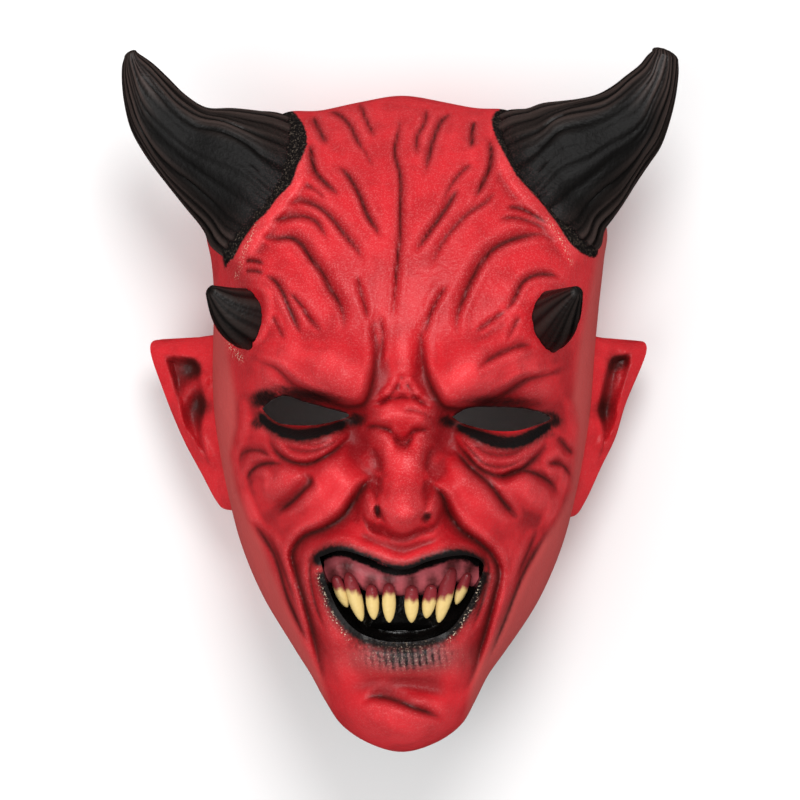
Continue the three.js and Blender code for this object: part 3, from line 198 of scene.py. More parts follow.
# Furrows: half widths on the left and right of the line, depth, strength of the dark paint in them and of
# the painted shade round them, share that fades, and the line
FURROWS = [
    # forehead, middle
    (1.3, 0.7, 1.4, 0.9, (0.2, 0.3), [
        (0.8, 104.4), (-0.8, 95.4), (-2, 88.4), (0, 80), (0, 67.5), (-0.3, 57), (-1.3, 46.6), (-2, 36),
        (-3, 26)]),
    # forehead, left of the middle, from the top down
    (0.9, 0.9, 1.1, 0.75, (0.2, 0.3), [(-14.5, 106.5), (-11.8, 99.5), (-8.5, 93)]),
    (0.7, 0.7, 0.7, 0.4, (0.2, 0.3), [(-13, 90), (-11.3, 86.5), (-9.2, 83)]),
    (1.1, 0.9, 1.4, 0.85, (0.2, 0.3), [
        (-26.4, 103), (-22.2, 102), (-18, 98.1), (-15.2, 92.6), (-12, 87.5)]),
    (1.1, 1.1, 1.4, 0.9, (0.2, 0.3), [(-31.3, 101.6), (-29.2, 97.4), (-27.1, 93.3), (-25.7, 90.5)]),
    (0.9, 1.1, 1.8, 1, (0.2, 0.3), [
        (-32, 92.6), (-31.3, 86.3), (-29.9, 81.4), (-26.5, 77.5), (-21, 72.5)]),
    (1.3, 0.9, 1.8, 0.95, (0.2, 0.3), [
        (-22.2, 84.2), (-18, 79.3), (-14.5, 73), (-11.7, 66), (-8.3, 60.5), (-6, 57)]),
    (0.8, 0.8, 0.9, 0.5, (0.2, 0.3), [(-34, 77), (-29.2, 74.4), (-26, 70.9)]),
    (1.6, 0.9, 1.8, 0.8, (0.2, 0.3), [
        (-41, 70.2), (-34.7, 70.9), (-29.2, 68.8), (-24.3, 64.7), (-19.4, 58.4), (-15.2, 53.5),
        (-12.4, 48.6)]),
    (1.4, 0.9, 1.5, 0.75, (0.2, 0.3), [
        (-46.6, 64), (-41, 64.7), (-35.4, 65.4), (-30.5, 64), (-27, 59.8), (-25, 57)]),
    (2.0, 0.9, 2.3, 0.95, (0.2, 0.3), [
        (-50, 59), (-44.5, 57.5), (-39, 57.7), (-35.4, 55.6), (-32, 50.7), (-27.8, 45.2), (-25, 39.6),
        (-22.2, 35.4), (-20.1, 30), (-20, 23.5)]),
    (0.7, 0.7, 1.2, 1, (0.2, 0.3), [(-55.5, 49.5), (-52, 49.6), (-48, 48.6)]),
    (0.7, 0.7, 1.1, 0.9, (0.2, 0.3), [(-55.5, 45.8), (-52, 46), (-48, 45.2)]),
    (1.4, 0.9, 1.7, 0.9, (0.2, 0.3), [
        (-48.7, 45.2), (-44.5, 42.4), (-41.7, 38.2), (-39.6, 33.3), (-37.5, 28.4), (-35.2, 23)]),
    (1.1, 0.9, 1.4, 0.7, (0.2, 0.3), [(-40, 39.5), (-35.4, 34), (-32, 29.1), (-28, 24.4)]),
    (0.8, 0.8, 0.9, 0.45, (0.2, 0.3), [(-45.5, 30.5), (-43.3, 26), (-41, 21)]),
    (1.1, 0.9, 1.2, 0.6, (0.2, 0.3), [(-15.5, 45), (-13.4, 36.5), (-10.8, 27)]),
    (0.8, 0.8, 1.0, 0.5, (0.2, 0.3), [(-6.8, 31), (-6.1, 22), (-7, 12.5)]),
    # forehead, right of the middle
    (0.9, 0.9, 1.1, 0.75, (0.2, 0.3), [(9.4, 105), (8.7, 98.8), (6.2, 94), (6.2, 86)]),
    (0.9, 1.2, 1.4, 0.9, (0.2, 0.3), [(19.1, 103), (14.9, 99.5), (12.1, 93.3), (10.4, 87), (9, 80)]),
    (0.9, 0.9, 1.4, 1, (0.2, 0.3), [(26.4, 100.2), (25.7, 95.4), (25.4, 89)]),
    (1.1, 0.9, 1.8, 1, (0.2, 0.3), [(31.7, 94), (32.4, 88.4), (31.7, 82.8), (29.6, 77.9), (26, 70.5)]),
    (0.9, 1.0, 1.2, 0.6, (0.2, 0.3), [(26.1, 84.9), (21.2, 80.7), (17.7, 75.8), (15, 69.5)]),
    (0.9, 1.4, 1.8, 0.9, (0.2, 0.3), [(21.2, 76.5), (17.7, 70.3), (13.5, 64), (10, 59.1), (5, 52)]),
    (0.9, 1.6, 1.4, 0.6, (0.2, 0.3), [
        (35.1, 75.1), (30.3, 70.3), (24.7, 66.8), (19.1, 61.2), (14.9, 55.6), (10.5, 46.5)]),
    (1.1, 1.9, 2.3, 0.95, (0.2, 0.3), [
        (56, 57.7), (49.8, 59.1), (43.5, 58.1), (37.9, 56.3), (33, 53.5), (28.9, 48.7), (25.4, 42.4),
        (22.6, 36.1), (20.5, 30), (20, 22)]),
    (0.8, 0.9, 1.2, 0.9, (0.2, 0.3), [(37.2, 69), (42.8, 68.2), (48.4, 65.4), (54, 62)]),
    (0.8, 0.9, 1.1, 0.7, (0.2, 0.3), [(34.5, 64.6), (41.4, 64.9), (47.7, 63), (54, 59.8)]),
    (0.9, 1.3, 1.7, 0.9, (0.2, 0.3), [
        (58.1, 43.8), (52.6, 44.7), (47.7, 44.3), (43.5, 41.7), (40.7, 36.1), (36.8, 31.2)]),
    (0.8, 0.9, 1.0, 0.5, (0.2, 0.3), [(37.5, 32), (31.7, 27.8), (27, 24.5)]),
    (0.8, 0.9, 0.9, 0.5, (0.2, 0.3), [(42.8, 30.6), (40, 25), (37.9, 20.8)]),
    (0.9, 1.1, 1.4, 0.65, (0.2, 0.3), [(16.8, 41.5), (12.8, 34.7), (10, 28.5), (8.9, 22)]),
    # lower edge of the brow, steep on the brow's side and wide below it
    (1.2, 3.4, 4.2, 0.85, (0.35, 0.3), [
        (-51.5, 13.8), (-44.4, 11.4), (-38.3, 5.7), (-32.7, 2.1), (-28.8, 0.6), (-23.1, -1.4),
        (-17.8, -2.3), (-12.8, -1.2), (-9.6, 7.5), (-8.4, 17), (-9.2, 25), (-8, 33)]),
    (1.2, 3.4, 4.2, 0.9, (0.3, 0.35), [
        (7.6, 33), (7.5, 25), (8.2, 13), (10.2, 6.6), (12.6, 1.9), (15.7, -2.3), (21.3, -3.2),
        (26.8, -2.8), (33.2, 0), (38.7, 3.2), (45, 7.2), (52.2, 8.8), (58.5, 10.6)]),
    (1.2, 2.0, 2.4, 0.7, (0.25, 0.3), [
        (48.4, 19.6), (42.8, 19.2), (37.2, 17.3), (31.7, 14.3), (27, 10.4)]),
    # root of the nose
    (0.9, 0.9, 1.2, 0.6, (0.3, 0.2), [(0.8, 7.5), (-3.5, 1.5), (-8, -2.5)]),
    (0.9, 0.9, 1.2, 0.6, (0.2, 0.3), [(1.5, 7.5), (6, 0.5), (11, -3.5)]),
    (1.0, 1.0, 1.4, 0.55, (0.3, 0.3), [(-11, -2.2), (-4.8, 0), (3, 0.8), (11, -1.5)]),
    (0.9, 0.9, 1.1, 0.5, (0.3, 0.3), [(-0.2, -3.3), (7.8, -4.5), (12.5, -7.6)]),
    (1.2, 1.6, 2.2, 0.75, (0.3, 0.3), [(-13.5, -10), (-8.5, -9.3), (-4, -10.6), (-1, -12.6)]),
    (1.0, 1.0, 1.5, 0.7, (0.3, 0.3), [(2.2, -13.2), (5.5, -10.8), (11, -10.8)]),
    (1.2, 1.2, 1.8, 0.7, (0.3, 0.3), [(-3, -13), (1, -15.8), (5, -13)]),
    (1.3, 1.6, 1.8, 0.5, (0.3, 0.3), [(-10, -16.5), (-8, -21), (-6.8, -26.5)]),
    (1.6, 1.3, 1.8, 0.5, (0.3, 0.3), [(12, -16), (10, -21), (9.4, -26.5)]),
    # wings of the nose, and under its tip
    (1.0, 1.3, 2.6, 0.45, (0.2, 0.2), [(-7.4, -27), (-8.3, -33), (-7.5, -39), (-5, -44)]),
    (1.3, 1.0, 2.6, 0.45, (0.2, 0.2), [(9.6, -28), (9.3, -34), (8.8, -39.5), (6.6, -44)]),
    (1.1, 1.1, 2.6, 1.0, (0.3, 0.3), [(-8.9, -37.8), (-8.2, -40), (-6.9, -42.6)]),
    (1.1, 1.1, 2.6, 0.7, (0.3, 0.3), [(7.6, -43.6), (9.6, -42.6), (11.2, -40.6)]),
    (2.2, 1.1, 2.6, 0.3, (0.2, 0.2), [
        (-14.8, -34), (-13.4, -41), (-10.3, -45.2), (-5, -47.3), (1, -48.6), (7, -47), (12.4, -45),
        (15.6, -41), (16.6, -34)]),
    # sneer lines from the nose round the mouth
    (3.4, 1.3, 4.2, 1, (0.08, 0.25), [
        (-8.1, -26.6), (-12.8, -30.6), (-16, -35.4), (-20.7, -41.7), (-27, -45.7), (-34.2, -48.8),
        (-38.2, -54.4), (-36.9, -62.1), (-34.4, -71), (-31.2, -82.6), (-28.8, -93), (-26.6, -103.3)]),
    (1.3, 3.4, 4.2, 1, (0.08, 0.25), [
        (10.2, -29), (14.9, -33.8), (17.3, -40.1), (22, -46.5), (28.4, -51.2), (33.2, -56), (35.1, -61.8),
        (33.3, -71.1), (30.7, -81.6), (28.1, -90.4), (26.1, -98.2), (22.9, -105)]),
    (1.0, 1.0, 1.6, 0.81, (0.2, 0.3), [
        (-30.8, -52.5), (-32, -60), (-31.2, -68), (-29, -76), (-25.5, -84)]),
    (1.0, 1.0, 1.6, 0.94, (0.2, 0.3), [(30, -53), (31.5, -60), (30.3, -68), (27.8, -76), (24.5, -84)]),
    (1.3, 1.3, 2.4, 0.94, (0.2, 0.3), [(-53, -42.5), (-45, -54.5), (-40, -70.5), (-31, -90.5)]),
    (1.1, 1.1, 1.7, 0.68, (0.3, 0.4), [(-47, -47), (-40.5, -63), (-35.5, -78)]),
    (1.3, 1.3, 2.4, 0.94, (0.2, 0.3), [(52.5, -47), (44.5, -60.5), (37.5, -78), (30.5, -95)]),
    (1.1, 1.1, 1.6, 0.68, (0.3, 0.4), [(49, -46), (45, -55), (40.5, -66)]),
    # cheeks
    (1.3, 2.2, 2.8, 1, (0.15, 0.3), [
        (-31, -26.5), (-32, -30), (-34.2, -32.2), (-38.2, -36.2), (-44.5, -41)]),
    (1.3, 1.8, 3.0, 1, (0.2, 0.2), [
        (18.5, -16.5), (25.2, -24.3), (31.6, -29.8), (37.1, -36.9), (42, -42.5)]),
    (1.1, 1.5, 1.8, 0.94, (0.2, 0.3), [(-55, -29), (-52.5, -25), (-48.5, -22.8), (-40.5, -22.7)]),
    (1.1, 1.4, 1.6, 0.81, (0.2, 0.3), [(-58, -23), (-55.6, -18.8), (-50, -18), (-44.5, -21)]),
    (1.1, 1.6, 2.0, 0.94, (0.2, 0.3), [
        (34.8, -27.4), (42.6, -25), (49, -26.6), (54.6, -30.6), (57, -35.4)]),
    (1.0, 1.2, 1.6, 0.81, (0.3, 0.3), [(61, -27.5), (57.5, -23.2), (51.5, -22.5)]),
    (1.0, 1.2, 1.4, 0.81, (0.3, 0.3), [(56, -13), (59.6, -17.4), (62, -20)]),
    # bags under the eyes
    (1.0, 1.8, 2.2, 1, (0.2, 0.2), [
        (-47.7, -10.8), (-44.5, -17.9), (-38.9, -21.9), (-32.7, -22.7), (-25.5, -19.5), (-19.2, -14.8),
        (-17, -12.4)]),
    (0.8, 1.0, 1.1, 0.68, (0.3, 0.3), [
        (-44, -13.5), (-38.5, -17.5), (-31.5, -18.2), (-24, -15.4), (-18.5, -11)]),
    (0.8, 0.9, 0.9, 0.61, (0.3, 0.3), [(-36, -15), (-30, -15.8), (-23.5, -13)]),
    (1.0, 1.8, 2.2, 1, (0.2, 0.2), [
        (18.1, -13.1), (23.6, -19.5), (28.4, -24.3), (34.8, -27), (41, -25.9), (46.6, -21.9),
        (50.6, -17.9), (53, -13.1)]),
    (0.8, 1.0, 1.1, 0.74, (0.3, 0.3), [
        (18.9, -10.8), (25.2, -17.9), (30, -22.7), (37.1, -23.9), (43.5, -21.1), (49, -15.5)]),
    (0.8, 0.9, 1.0, 0.68, (0.3, 0.3), [
        (22, -11.6), (26.8, -16.3), (33.2, -19.5), (41.9, -18.8), (49, -13.1)]),
    # chin
    (1.8, 1.4, 2.6, 1, (0.25, 0.3), [
        (-14, -108), (-10, -106), (-5.7, -106), (-0.5, -107.6), (4.7, -109.7), (10.4, -111.7),
        (16.2, -114.4)]),
]

# Openings in the front view. The lower lid of an eye starts at this point of its outline
LOWER_LID = 5
EYES = [
    [(-49, -3), (-45.5, 0), (-41, 1.5), (-33, -1), (-25.5, -3), (-18, -5.5),
     (-25, -8), (-31, -9), (-38, -9), (-43.5, -8), (-47.5, -5)],
    [(18.5, -6), (24, -3), (33.5, -2.5), (43.5, -3), (50, -4.5), (53.5, -6.5),
     (47, -9.5), (41, -11), (33.5, -11), (28, -10), (21.5, -8)],
]
MOUTH_EDGE = [
    (-28.6, -56), (-21, -53.7), (-9.5, -57), (0.5, -60.5), (12, -57), (24, -55.5),
    (29.6, -58.4), (27.2, -67), (22.4, -76), (17.2, -82.2), (9.5, -85.4), (0.5, -86.4),
    (-8, -85.5), (-15.6, -82.2), (-21.6, -75.5), (-25.8, -66.2),
]
# Depths of the mouth's pocket and of the eye cuts, and the share of their outline that they have there
MOUTH_STEPS = [(160, 1), (MOUTH["floor"] + 7, 1), (MOUTH["floor"] + 2, 0.94), (MOUTH["floor"], 0.8)]
EYE_CUT = [(40, 1), (160, 1)]
# The slit runs down towards the chin: levels, and how far it's moved towards the crown there
SLIT = dict(at=(0.5, -80.5), size=(11, 1.9), low=(90, -9), high=(102, 3))
GUM = dict(
    radius=6.7,
    way=[(-27, -59.5), (-19, -58.7), (-10, -62.3), (0.5, -63.4), (11, -62.3), (20, -59), (28, -61)],
)

# Teeth: root, tip and width
TEETH = [
    ((-22.9, -63.5), (-18.7, -74), 4.6),
    ((-18.2, -62.8), (-13.5, -79), 5.3),
    ((-10.2, -66.7), (-9.2, -78.4), 4.8),
    ((-4, -66.2), (-3.8, -79.5), 5),
    ((4.1, -67), (4.1, -79.5), 5.2),
    ((11.2, -66.7), (9.3, -77.9), 5),
    ((18.1, -60.6), (13.7, -79.5), 5.8),
    ((24, -62.2), (19.9, -73), 4.2),
]
# Along a tooth from its root to its tip: share of its length, and of its full width
TOOTH_STEPS = [
    (-0.08, 0.3), (-0.04, 0.6), (0.04, 0.8), (0.25, 0.95), (0.5, 1), (0.7, 0.86), (0.85, 0.62),
    (0.95, 0.36), (1, 0.1),
]
# Where the teeth turn from dark red to cream: place across the mouth, and height
TOOTH_PAINT = [
    (-21, -67.5), (-16, -68.5), (-9.7, -70.6), (-3.6, -68.9), (4.1, -71.7), (9.9, -71.7), (16, -70.6),
    (22, -67.1),
]

# Big horns: the two edges of each cross section from root to tip, the tip, and at the root the level,
# tilt and bow of the section
BIG_HORNS = [
    dict(
        edges=[
            ((-62, 50), (-37, 101)), ((-67.8, 54.7), (-44.4, 103)), ((-70.1, 60.5), (-50.4, 103.5)),
            ((-76.9, 69.2), (-59.6, 104.3)), ((-83.4, 77.4), (-68.8, 104.5)), ((-90, 86.3), (-76, 108.8)),
            ((-95.5, 96), (-82.3, 115)), ((-97.9, 105.1), (-87.2, 119.7)), ((-98.9, 113.6), (-90.5, 122.1)),
            ((-98.8, 119.1), (-92.5, 123.4)), ((-98, 122.1), (-93.5, 124.2)),
        ],
        tip=(-95.9, 124.5), level=57, tilt=-14, bow=12,
    ),
    dict(
        edges=[
            ((65.7, 52.5), (34.4, 101.9)), ((71.4, 54), (38.3, 103.7)), ((73.1, 60.7), (45.3, 104.4)),
            ((75.8, 64.6), (50.2, 106)), ((79.6, 70), (56.7, 106.8)), ((84, 77.1), (63.8, 107.6)),
            ((88.4, 83.7), (70.3, 109.2)), ((92.7, 90.2), (75.3, 112)), ((96, 99.5), (79.6, 115.3)),
            ((98.2, 108.7), (85.1, 119.6)), ((99.1, 116.9), (87.8, 122.9)), ((98.9, 121.4), (89.5, 124.4)),
        ],
        tip=(93.7, 125.4), level=55.5, tilt=-10, bow=-9,
    ),
]
BIG_HORN = dict(
    tip_level=66, root_depth=0.86, tip_depth=0.95, ridge_depth=0.055,
    root_share=0.32, plug_depth=8, plug_size=0.8, tip_rings=(0.35, 0.65, 0.88), open_end=5,
)

# Small horns: centre of the root, tip, radius and bow
SMALL_HORNS = [
    ((-50.5, 28.5, 83.3), (-67.6, 39.2, 99), 12, 2),
    ((47.6, 26.8, 84.2), (63.2, 38.8, 114.5), 12.5, 2),
]
SMALL_HORN = dict(taper=1.5, tip_radius=2, ridge_depth=0.09, twist=0.12, tip_rings=(0.4, 0.8))

# Ears: outer edge from tip to lobe, where the ear enters the head, its hollow, the ridge inside the
# hollow, and the two deepest places
EARS = [
    dict(
        edge=[
            (-84.5, 21.7), (-87.9, 20.9), (-88.8, 18.6), (-83.5, 1.8), (-76.8, -14.4), (-70.2, -26.8),
            (-65.4, -35.8), (-63, -38.6), (-59, -39.5),
        ],
        inner=-55, top=24.9, foot=-37,
        hollow=[
            (-84.5, 16), (-76.8, 16), (-72.6, 15), (-70.6, 12), (-69.9, 7), (-68.7, -2), (-69.9, -10),
            (-68.9, -16), (-67.3, -24), (-70, -21), (-74, -14.4), (-77.3, -9.2), (-79.2, -2), (-83, 12),
        ],
        ridge=[(-70.2, 7), (-74.9, 3.7), (-77.5, -1.5), (-76.8, -7.5), (-72.1, -13.5), (-69.2, -19.2)],
        deep=[(-73, 11), (-69.5, -2)],
        lobe=(-63, -33.4),
    ),
    dict(
        edge=[
            (84, 21.2), (86.8, 20.6), (87.7, 18.3), (80.1, -1.6), (76.5, -13.5), (71.5, -23.9),
            (65.8, -36.2), (62.5, -41), (59, -42),
        ],
        inner=57, top=25, foot=-38,
        hollow=[
            (73.5, 12.7), (74.9, 15.1), (77.7, 16.3), (82, 16.8), (82, 11), (80.1, 3.7), (78.2, -1.1),
            (77.5, -6.8), (75.3, -12.4), (70.3, -22), (71.5, -13.5), (71.1, -8.7), (70.1, -4.4), (72, 8),
        ],
        ridge=[(79, 9), (78, 3), (77, -3), (75.4, -10), (72.5, -16)],
        deep=[(76.3, 14), (71.5, -3.5)],
        lobe=(65, -35.5),
    ),
]
EAR = dict(
    level=50, lean=14, sweep=12, root_thick=10, edge_thick=5, end_thin=0.3, top_sag=1.1,
    spread=0.8, lean_power=1.5, end_steep=6,
    hollow_deep=4.5, hollow_edge=3, ridge_high=3, ridge_width=2.2, deepest=2.5, deep_size=4,
    lobe_high=2, lobe_size=5,
)


# Curves and distances

def smooth(share):
    t = np.clip(share, 0, 1)
    return t * t * (3 - 2 * t)


def bell(distance, wide):
    return np.exp(-(distance / wide) ** 2)


def rolled(distance, wide):
    """Cross section of a rounded roll: full along its middle, and steep near its half width."""
    return np.exp(-0.7 * (distance / wide) ** 2.6)


def distance_to(x, y, at):
    return np.hypot(x - at[0], y - at[1])


def round_angles(count):
    return 2 * math.pi * np.arange(count) / count


def hermite(t, first, first_slope, last, last_slope):
    """A cubic curve from one value and slope to another."""
    t2, t3 = t * t, t * t * t
    return ((2 * t3 - 3 * t2 + 1) * first + (t3 - 2 * t2 + t) * first_slope
            + (3 * t2 - 2 * t3) * last + (t3 - t2) * last_slope)


def curve_through(points, steps):
    """Points along a centripetal Catmull-Rom curve through the given ones."""
    p = np.array(points, float)
    p = np.vstack([2 * p[0] - p[1], p, 2 * p[-1] - p[-2]])
    count = len(p) - 3
    found = []
    for t in np.linspace(0, count, steps + 1):
        i = min(int(t), count - 1)
        found.append(catmull_rom(p[i:i + 4], t - i))
    return np.array(found)


def catmull_rom(p, t):
    a, b, c = np.sqrt(np.maximum(np.linalg.norm(np.diff(p, axis=0), axis=1), TINY))
    start = (p[1] - p[0]) / a - (p[2] - p[0]) / (a + b) + (p[2] - p[1]) / b
    end = (p[2] - p[1]) / b - (p[3] - p[1]) / (b + c) + (p[3] - p[2]) / c
    return hermite(t, p[1], start * b, p[2], end * b)


def closed_curve(points, steps):
    return curve_through([*points, points[0]], steps)[:-1]


def beside(x, y, line):
    """Distance from a line, share of the way from its start to its end, and side (1 on its left)."""
    nearest = np.full(x.shape, np.inf)
    side = np.ones(x.shape)
    for (ax, ay), (dx, dy) in zip(line[:-1, :2], np.diff(line[:, :2], axis=0)):
        t = np.clip(((x - ax) * dx + (y - ay) * dy) / (dx * dx + dy * dy + TINY), 0, 1)
        ex, ey = x - ax - t * dx, y - ay - t * dy
        square = ex * ex + ey * ey
        closer = square < nearest
        nearest = np.where(closer, square, nearest)
        side = np.where(closer, np.sign(dx * ey - dy * ex), side)
    (ax, ay), (bx, by) = line[0, :2], line[-1, :2]
    share = ((x - ax) * (bx - ax) + (y - ay) * (by - ay)) / ((bx - ax) ** 2 + (by - ay) ** 2 + TINY)
    return np.sqrt(nearest), np.clip(share, 0, 1), side


def near_line(x, y, way, reach):
    """The points within reach of a line, with their distance, share and side."""
    per_span = 5
    line = curve_through(way, per_span * (len(way) - 1))
    low, high = line.min(0) - reach, line.max(0) + reach
    close = (x > low[0]) & (x < high[0]) & (y > low[1]) & (y < high[1])
    return close, beside(x[close], y[close], line)


def band(x, y, way, wide):
    """1 on a line, falling off softly beyond its half width."""
    found = np.zeros(x.shape)
    close, (distance, _, _) = near_line(x, y, way, 3 * wide)
    found[close] = np.exp(-(distance / wide) ** 3)
    return found


def ends(share, fade):
    """1 along the middle of a line, fading over the given shares of it to 0 at its ends."""
    start, end = fade
    first = smooth(share / start) if start > 0 else 1
    last = smooth((1 - share) / end) if end > 0 else 1
    return first * last


def inside_of(x, y, loop):
    """Signed distance to a closed loop, positive inside."""
    distance, _, _ = beside(x, y, np.vstack([loop, loop[:1]]))
    inside = np.zeros(x.shape, bool)
    for (ax, ay), (bx, by) in zip(loop[:, :2], np.roll(loop, -1, axis=0)[:, :2]):
        crosses = (ay > y) != (by > y)
        at = (bx - ax) * (y - ay) / (by - ay + TINY) + ax
        inside ^= crosses & (x < at)
    return np.where(inside, distance, -distance)


# The face as levels above the rim

def outline_table():
    """Directions and radii of the outline, whose right half runs on past crown and chin to meet its
    mirror image smoothly."""
    per_span = 18
    beyond = [(-x, y) for x, y in (OUTLINE[1], OUTLINE[-2])]
    whole = [beyond[0], *OUTLINE, beyond[1]]
    right = curve_through(whole, per_span * (len(whole) - 1))[per_span:-per_span]
    left = right[1:-1][::-1] * (-1, 1)
    loop = np.vstack([right, left])
    x = loop[:, 0] + sum(by * bell(loop[:, 1] - at, over) for by, at, over in LEANS)
    y = loop[:, 1] - MIDDLE[1]
    angle = np.arctan2(y, x)
    radius = np.hypot(x, y) + sum(high * bell(np.degrees(angle) - at, wide) for at, high, wide in COLLARS)
    order = np.argsort(angle)
    angle, radius = angle[order], radius[order]
    turn = 2 * math.pi
    return np.concatenate([angle - turn, angle, angle + turn]), np.tile(radius, 3)


OUTLINE_ANGLES, OUTLINE_RADII = outline_table()


def outline_radius(angle):
    return np.interp(np.arctan2(np.sin(angle), np.cos(angle)), OUTLINE_ANGLES, OUTLINE_RADII)


def edge_level(angle):
    return DOME["edge"] + DOME["chin_rise"] * np.maximum(0, -np.sin(angle)) ** 4


def middle_level(y):
    at, level = np.array(PROFILE, float).T
    before = np.concatenate([[0], np.arange(len(at) - 1)])
    after = np.minimum(np.arange(len(at)) + 1, len(at) - 1)
    slope = (level[after] - level[before]) / (at[after] - at[before])
    i = np.clip(np.searchsorted(at, y) - 1, 0, len(at) - 2)
    span = at[i + 1] - at[i]
    t = np.clip((y - at[i]) / span, 0, 1)
    return hermite(t, level[i], span * slope[i], level[i + 1], span * slope[i + 1])


def dome_level(x, y):
    angle = np.arctan2(y - MIDDLE[1], x - MIDDLE[0])
    out = np.minimum(1, np.hypot(x - MIDDLE[0], y - MIDDLE[1]) / outline_radius(angle))
    roundness = DOME["roundness"] + DOME["chin_roundness"] * np.maximum(0, -np.sin(angle)) ** 6
    edge = edge_level(angle)
    return edge + (middle_level(y) - edge) * np.maximum(0, 1 - out ** roundness) ** DOME["fullness"]


def oval(x, y, at, size, turn=0):
    """1 at the middle of a turned ellipse, falling off softly past its half sizes."""
    angle = math.radians(turn)
    dx, dy = x - at[0], y - at[1]
    across = (dx * math.cos(angle) + dy * math.sin(angle)) / size[0]
    along = (dy * math.cos(angle) - dx * math.sin(angle)) / size[1]
    return np.exp(-(across ** 2 + along ** 2) ** 1.3)


def broad_forms(x, y):
    level = np.zeros(x.shape)
    for at, size, high, turn in SWELLINGS:
        level += high * oval(x, y, at, size, turn)
    for wide, (start, end), fade, way in ROLLS:
        close, (distance, share, _) = near_line(x, y, way, 2.4 * wide)
        height = start + (end - start) * share
        level[close] += height * ends(share, fade) * rolled(distance, wide)
    return level


def furrow(x, y, left, right, fade, way, reach):
    """Points near a furrow, how full it is there, and their distance in its half widths, which taper
    to its ends."""
    close, (distance, share, side) = near_line(x, y, way, reach * max(left, right))
    full = ends(share, fade) ** DITCH["fullness"]
    taper = DITCH["taper"] + (1 - DITCH["taper"]) * full
    return close, full, distance / (np.where(side > 0, left, right) * taper)


def furrows(x, y):
    level = np.zeros(x.shape)
    for left, right, deep, _, fade, way in FURROWS:
        close, full, u = furrow(x, y, left, right, fade, way, DITCH["reach"])
        bank = BANK["high"] * bell(u - BANK["at"], BANK["width"])
        ditch = DITCH["deep"] * np.exp(-u ** DITCH["power"])
        level[close] += deep * full * (bank - ditch - DIP["deep"] * bell(u, DIP["width"]))
    return level


def lip_grooves(x, y):
    """1 in the upright grooves of the lower lip and 0 on the wrinkles between them."""
    return 0.5 + 0.5 * np.cos(2 * math.pi * x / LOWER_LIP["pitch"] + LOWER_LIP["slant"] * y)


def lip_wrinkles(x, y):
    return -LOWER_LIP["wrinkle"] * oval(x, y, LOWER_LIP["at"], LOWER_LIP["size"]) * lip_grooves(x, y)


def outer_level(x, y):
    return dome_level(x, y) + broad_forms(x, y) + furrows(x, y) + lip_wrinkles(x, y)


def inner_level(x, y):
    """A wall's thickness below the lowest of the forms around, and clear of the mouth."""
    reach = INSIDE_FIT["near"]
    lowest = np.full(x.shape, np.inf)
    for dx, dy in [(0, 0), (reach, 0), (-reach, 0), (0, reach), (0, -reach)]:
        forms = broad_forms(x + dx, y + dy)
        sunk = INSIDE_FIT["furrow_share"] * np.minimum(0, furrows(x + dx, y + dy))
        lowest = np.minimum(lowest, forms + sunk)
    level = dome_level(x, y) + lowest - WALL
    behind = MOUTH["floor"] - WALL - MOUTH_ROOM["gap"]
    pocket = np.minimum(1, MOUTH_ROOM["high"] * oval(x, y, MOUTH_ROOM["at"], MOUTH_ROOM["size"]))
    return level - pocket * np.maximum(0, level - behind)


# Meshes in the front view

def closed_mesh(name, kind, rings, start, end, along=None, crest=None):
    """A closed mesh over rings of points of one count, between a start point and an end point. Its faces
    know what they belong to, and its points how far along and how high on a ridge they lie."""
    rings = np.array(rings, float)
    ring_count, count, _ = rings.shape
    points = np.vstack([[start], [end], rings.reshape(-1, 3)])
    index = 2 + np.arange(ring_count * count).reshape(ring_count, count)
    after = np.roll(index, -1, axis=1)
    a, b, c, d = (part.ravel() for part in (index[:-1], after[:-1], index[1:], after[1:]))
    shorter = np.linalg.norm(points[a] - points[d], axis=1) < np.linalg.norm(points[b] - points[c], axis=1)
    faces = np.vstack([
        np.column_stack([np.zeros(count, int), index[0], after[0]]),
        np.column_stack([np.ones(count, int), after[-1], index[-1]]),
        np.column_stack([a, c, np.where(shorter, d, b)]),
        np.column_stack([np.where(shorter, a, b), np.where(shorter, d, c), np.where(shorter, b, d)]),
    ])
    values = {}
    for label, given in (("along", along), ("crest", crest)):
        if given is not None:
            spread_out = np.broadcast_to(given, (ring_count, count))
            values[label] = np.concatenate([[spread_out[0, 0], spread_out[-1, 0]], spread_out.ravel()])
    return mesh_object(name, kind, points, faces, values)


def mesh_object(name, kind, points, faces, values):
    _, first, inverse = np.unique(np.round(points, 5), axis=0, return_index=True, return_inverse=True)
    faces = inverse.reshape(-1)[faces]
    good = (faces[:, 0] != faces[:, 1]) & (faces[:, 1] != faces[:, 2]) & (faces[:, 2] != faces[:, 0])
    points, faces = points[first], faces[good]
    a, b, c = points[faces[:, 0]], points[faces[:, 1]], points[faces[:, 2]]
    if (a * np.cross(b, c)).sum() < 0:
        faces = faces[:, ::-1]
    mesh = bpy.data.meshes.new(name)
    mesh.from_pydata(points.tolist(), [], faces.tolist())
    kinds = mesh.attributes.new("kind", "INT", "FACE")
    kinds.data.foreach_set("value", np.full(len(faces), kind, np.int32))
    for label, given in values.items():
        layer = mesh.attributes.new(label, "FLOAT", "POINT")
        layer.data.foreach_set("value", given[first].astype(np.float32))
    return placed(name, mesh)


def placed(name, data):
    made = bpy.data.objects.new(name, data)
    bpy.context.scene.collection.objects.link(made)
    return made


def lofted(name, kind, rings):
    """A closed mesh that ends flat on its first and last rings."""
    return closed_mesh(name, kind, rings, rings[0].mean(0), rings[-1].mean(0))


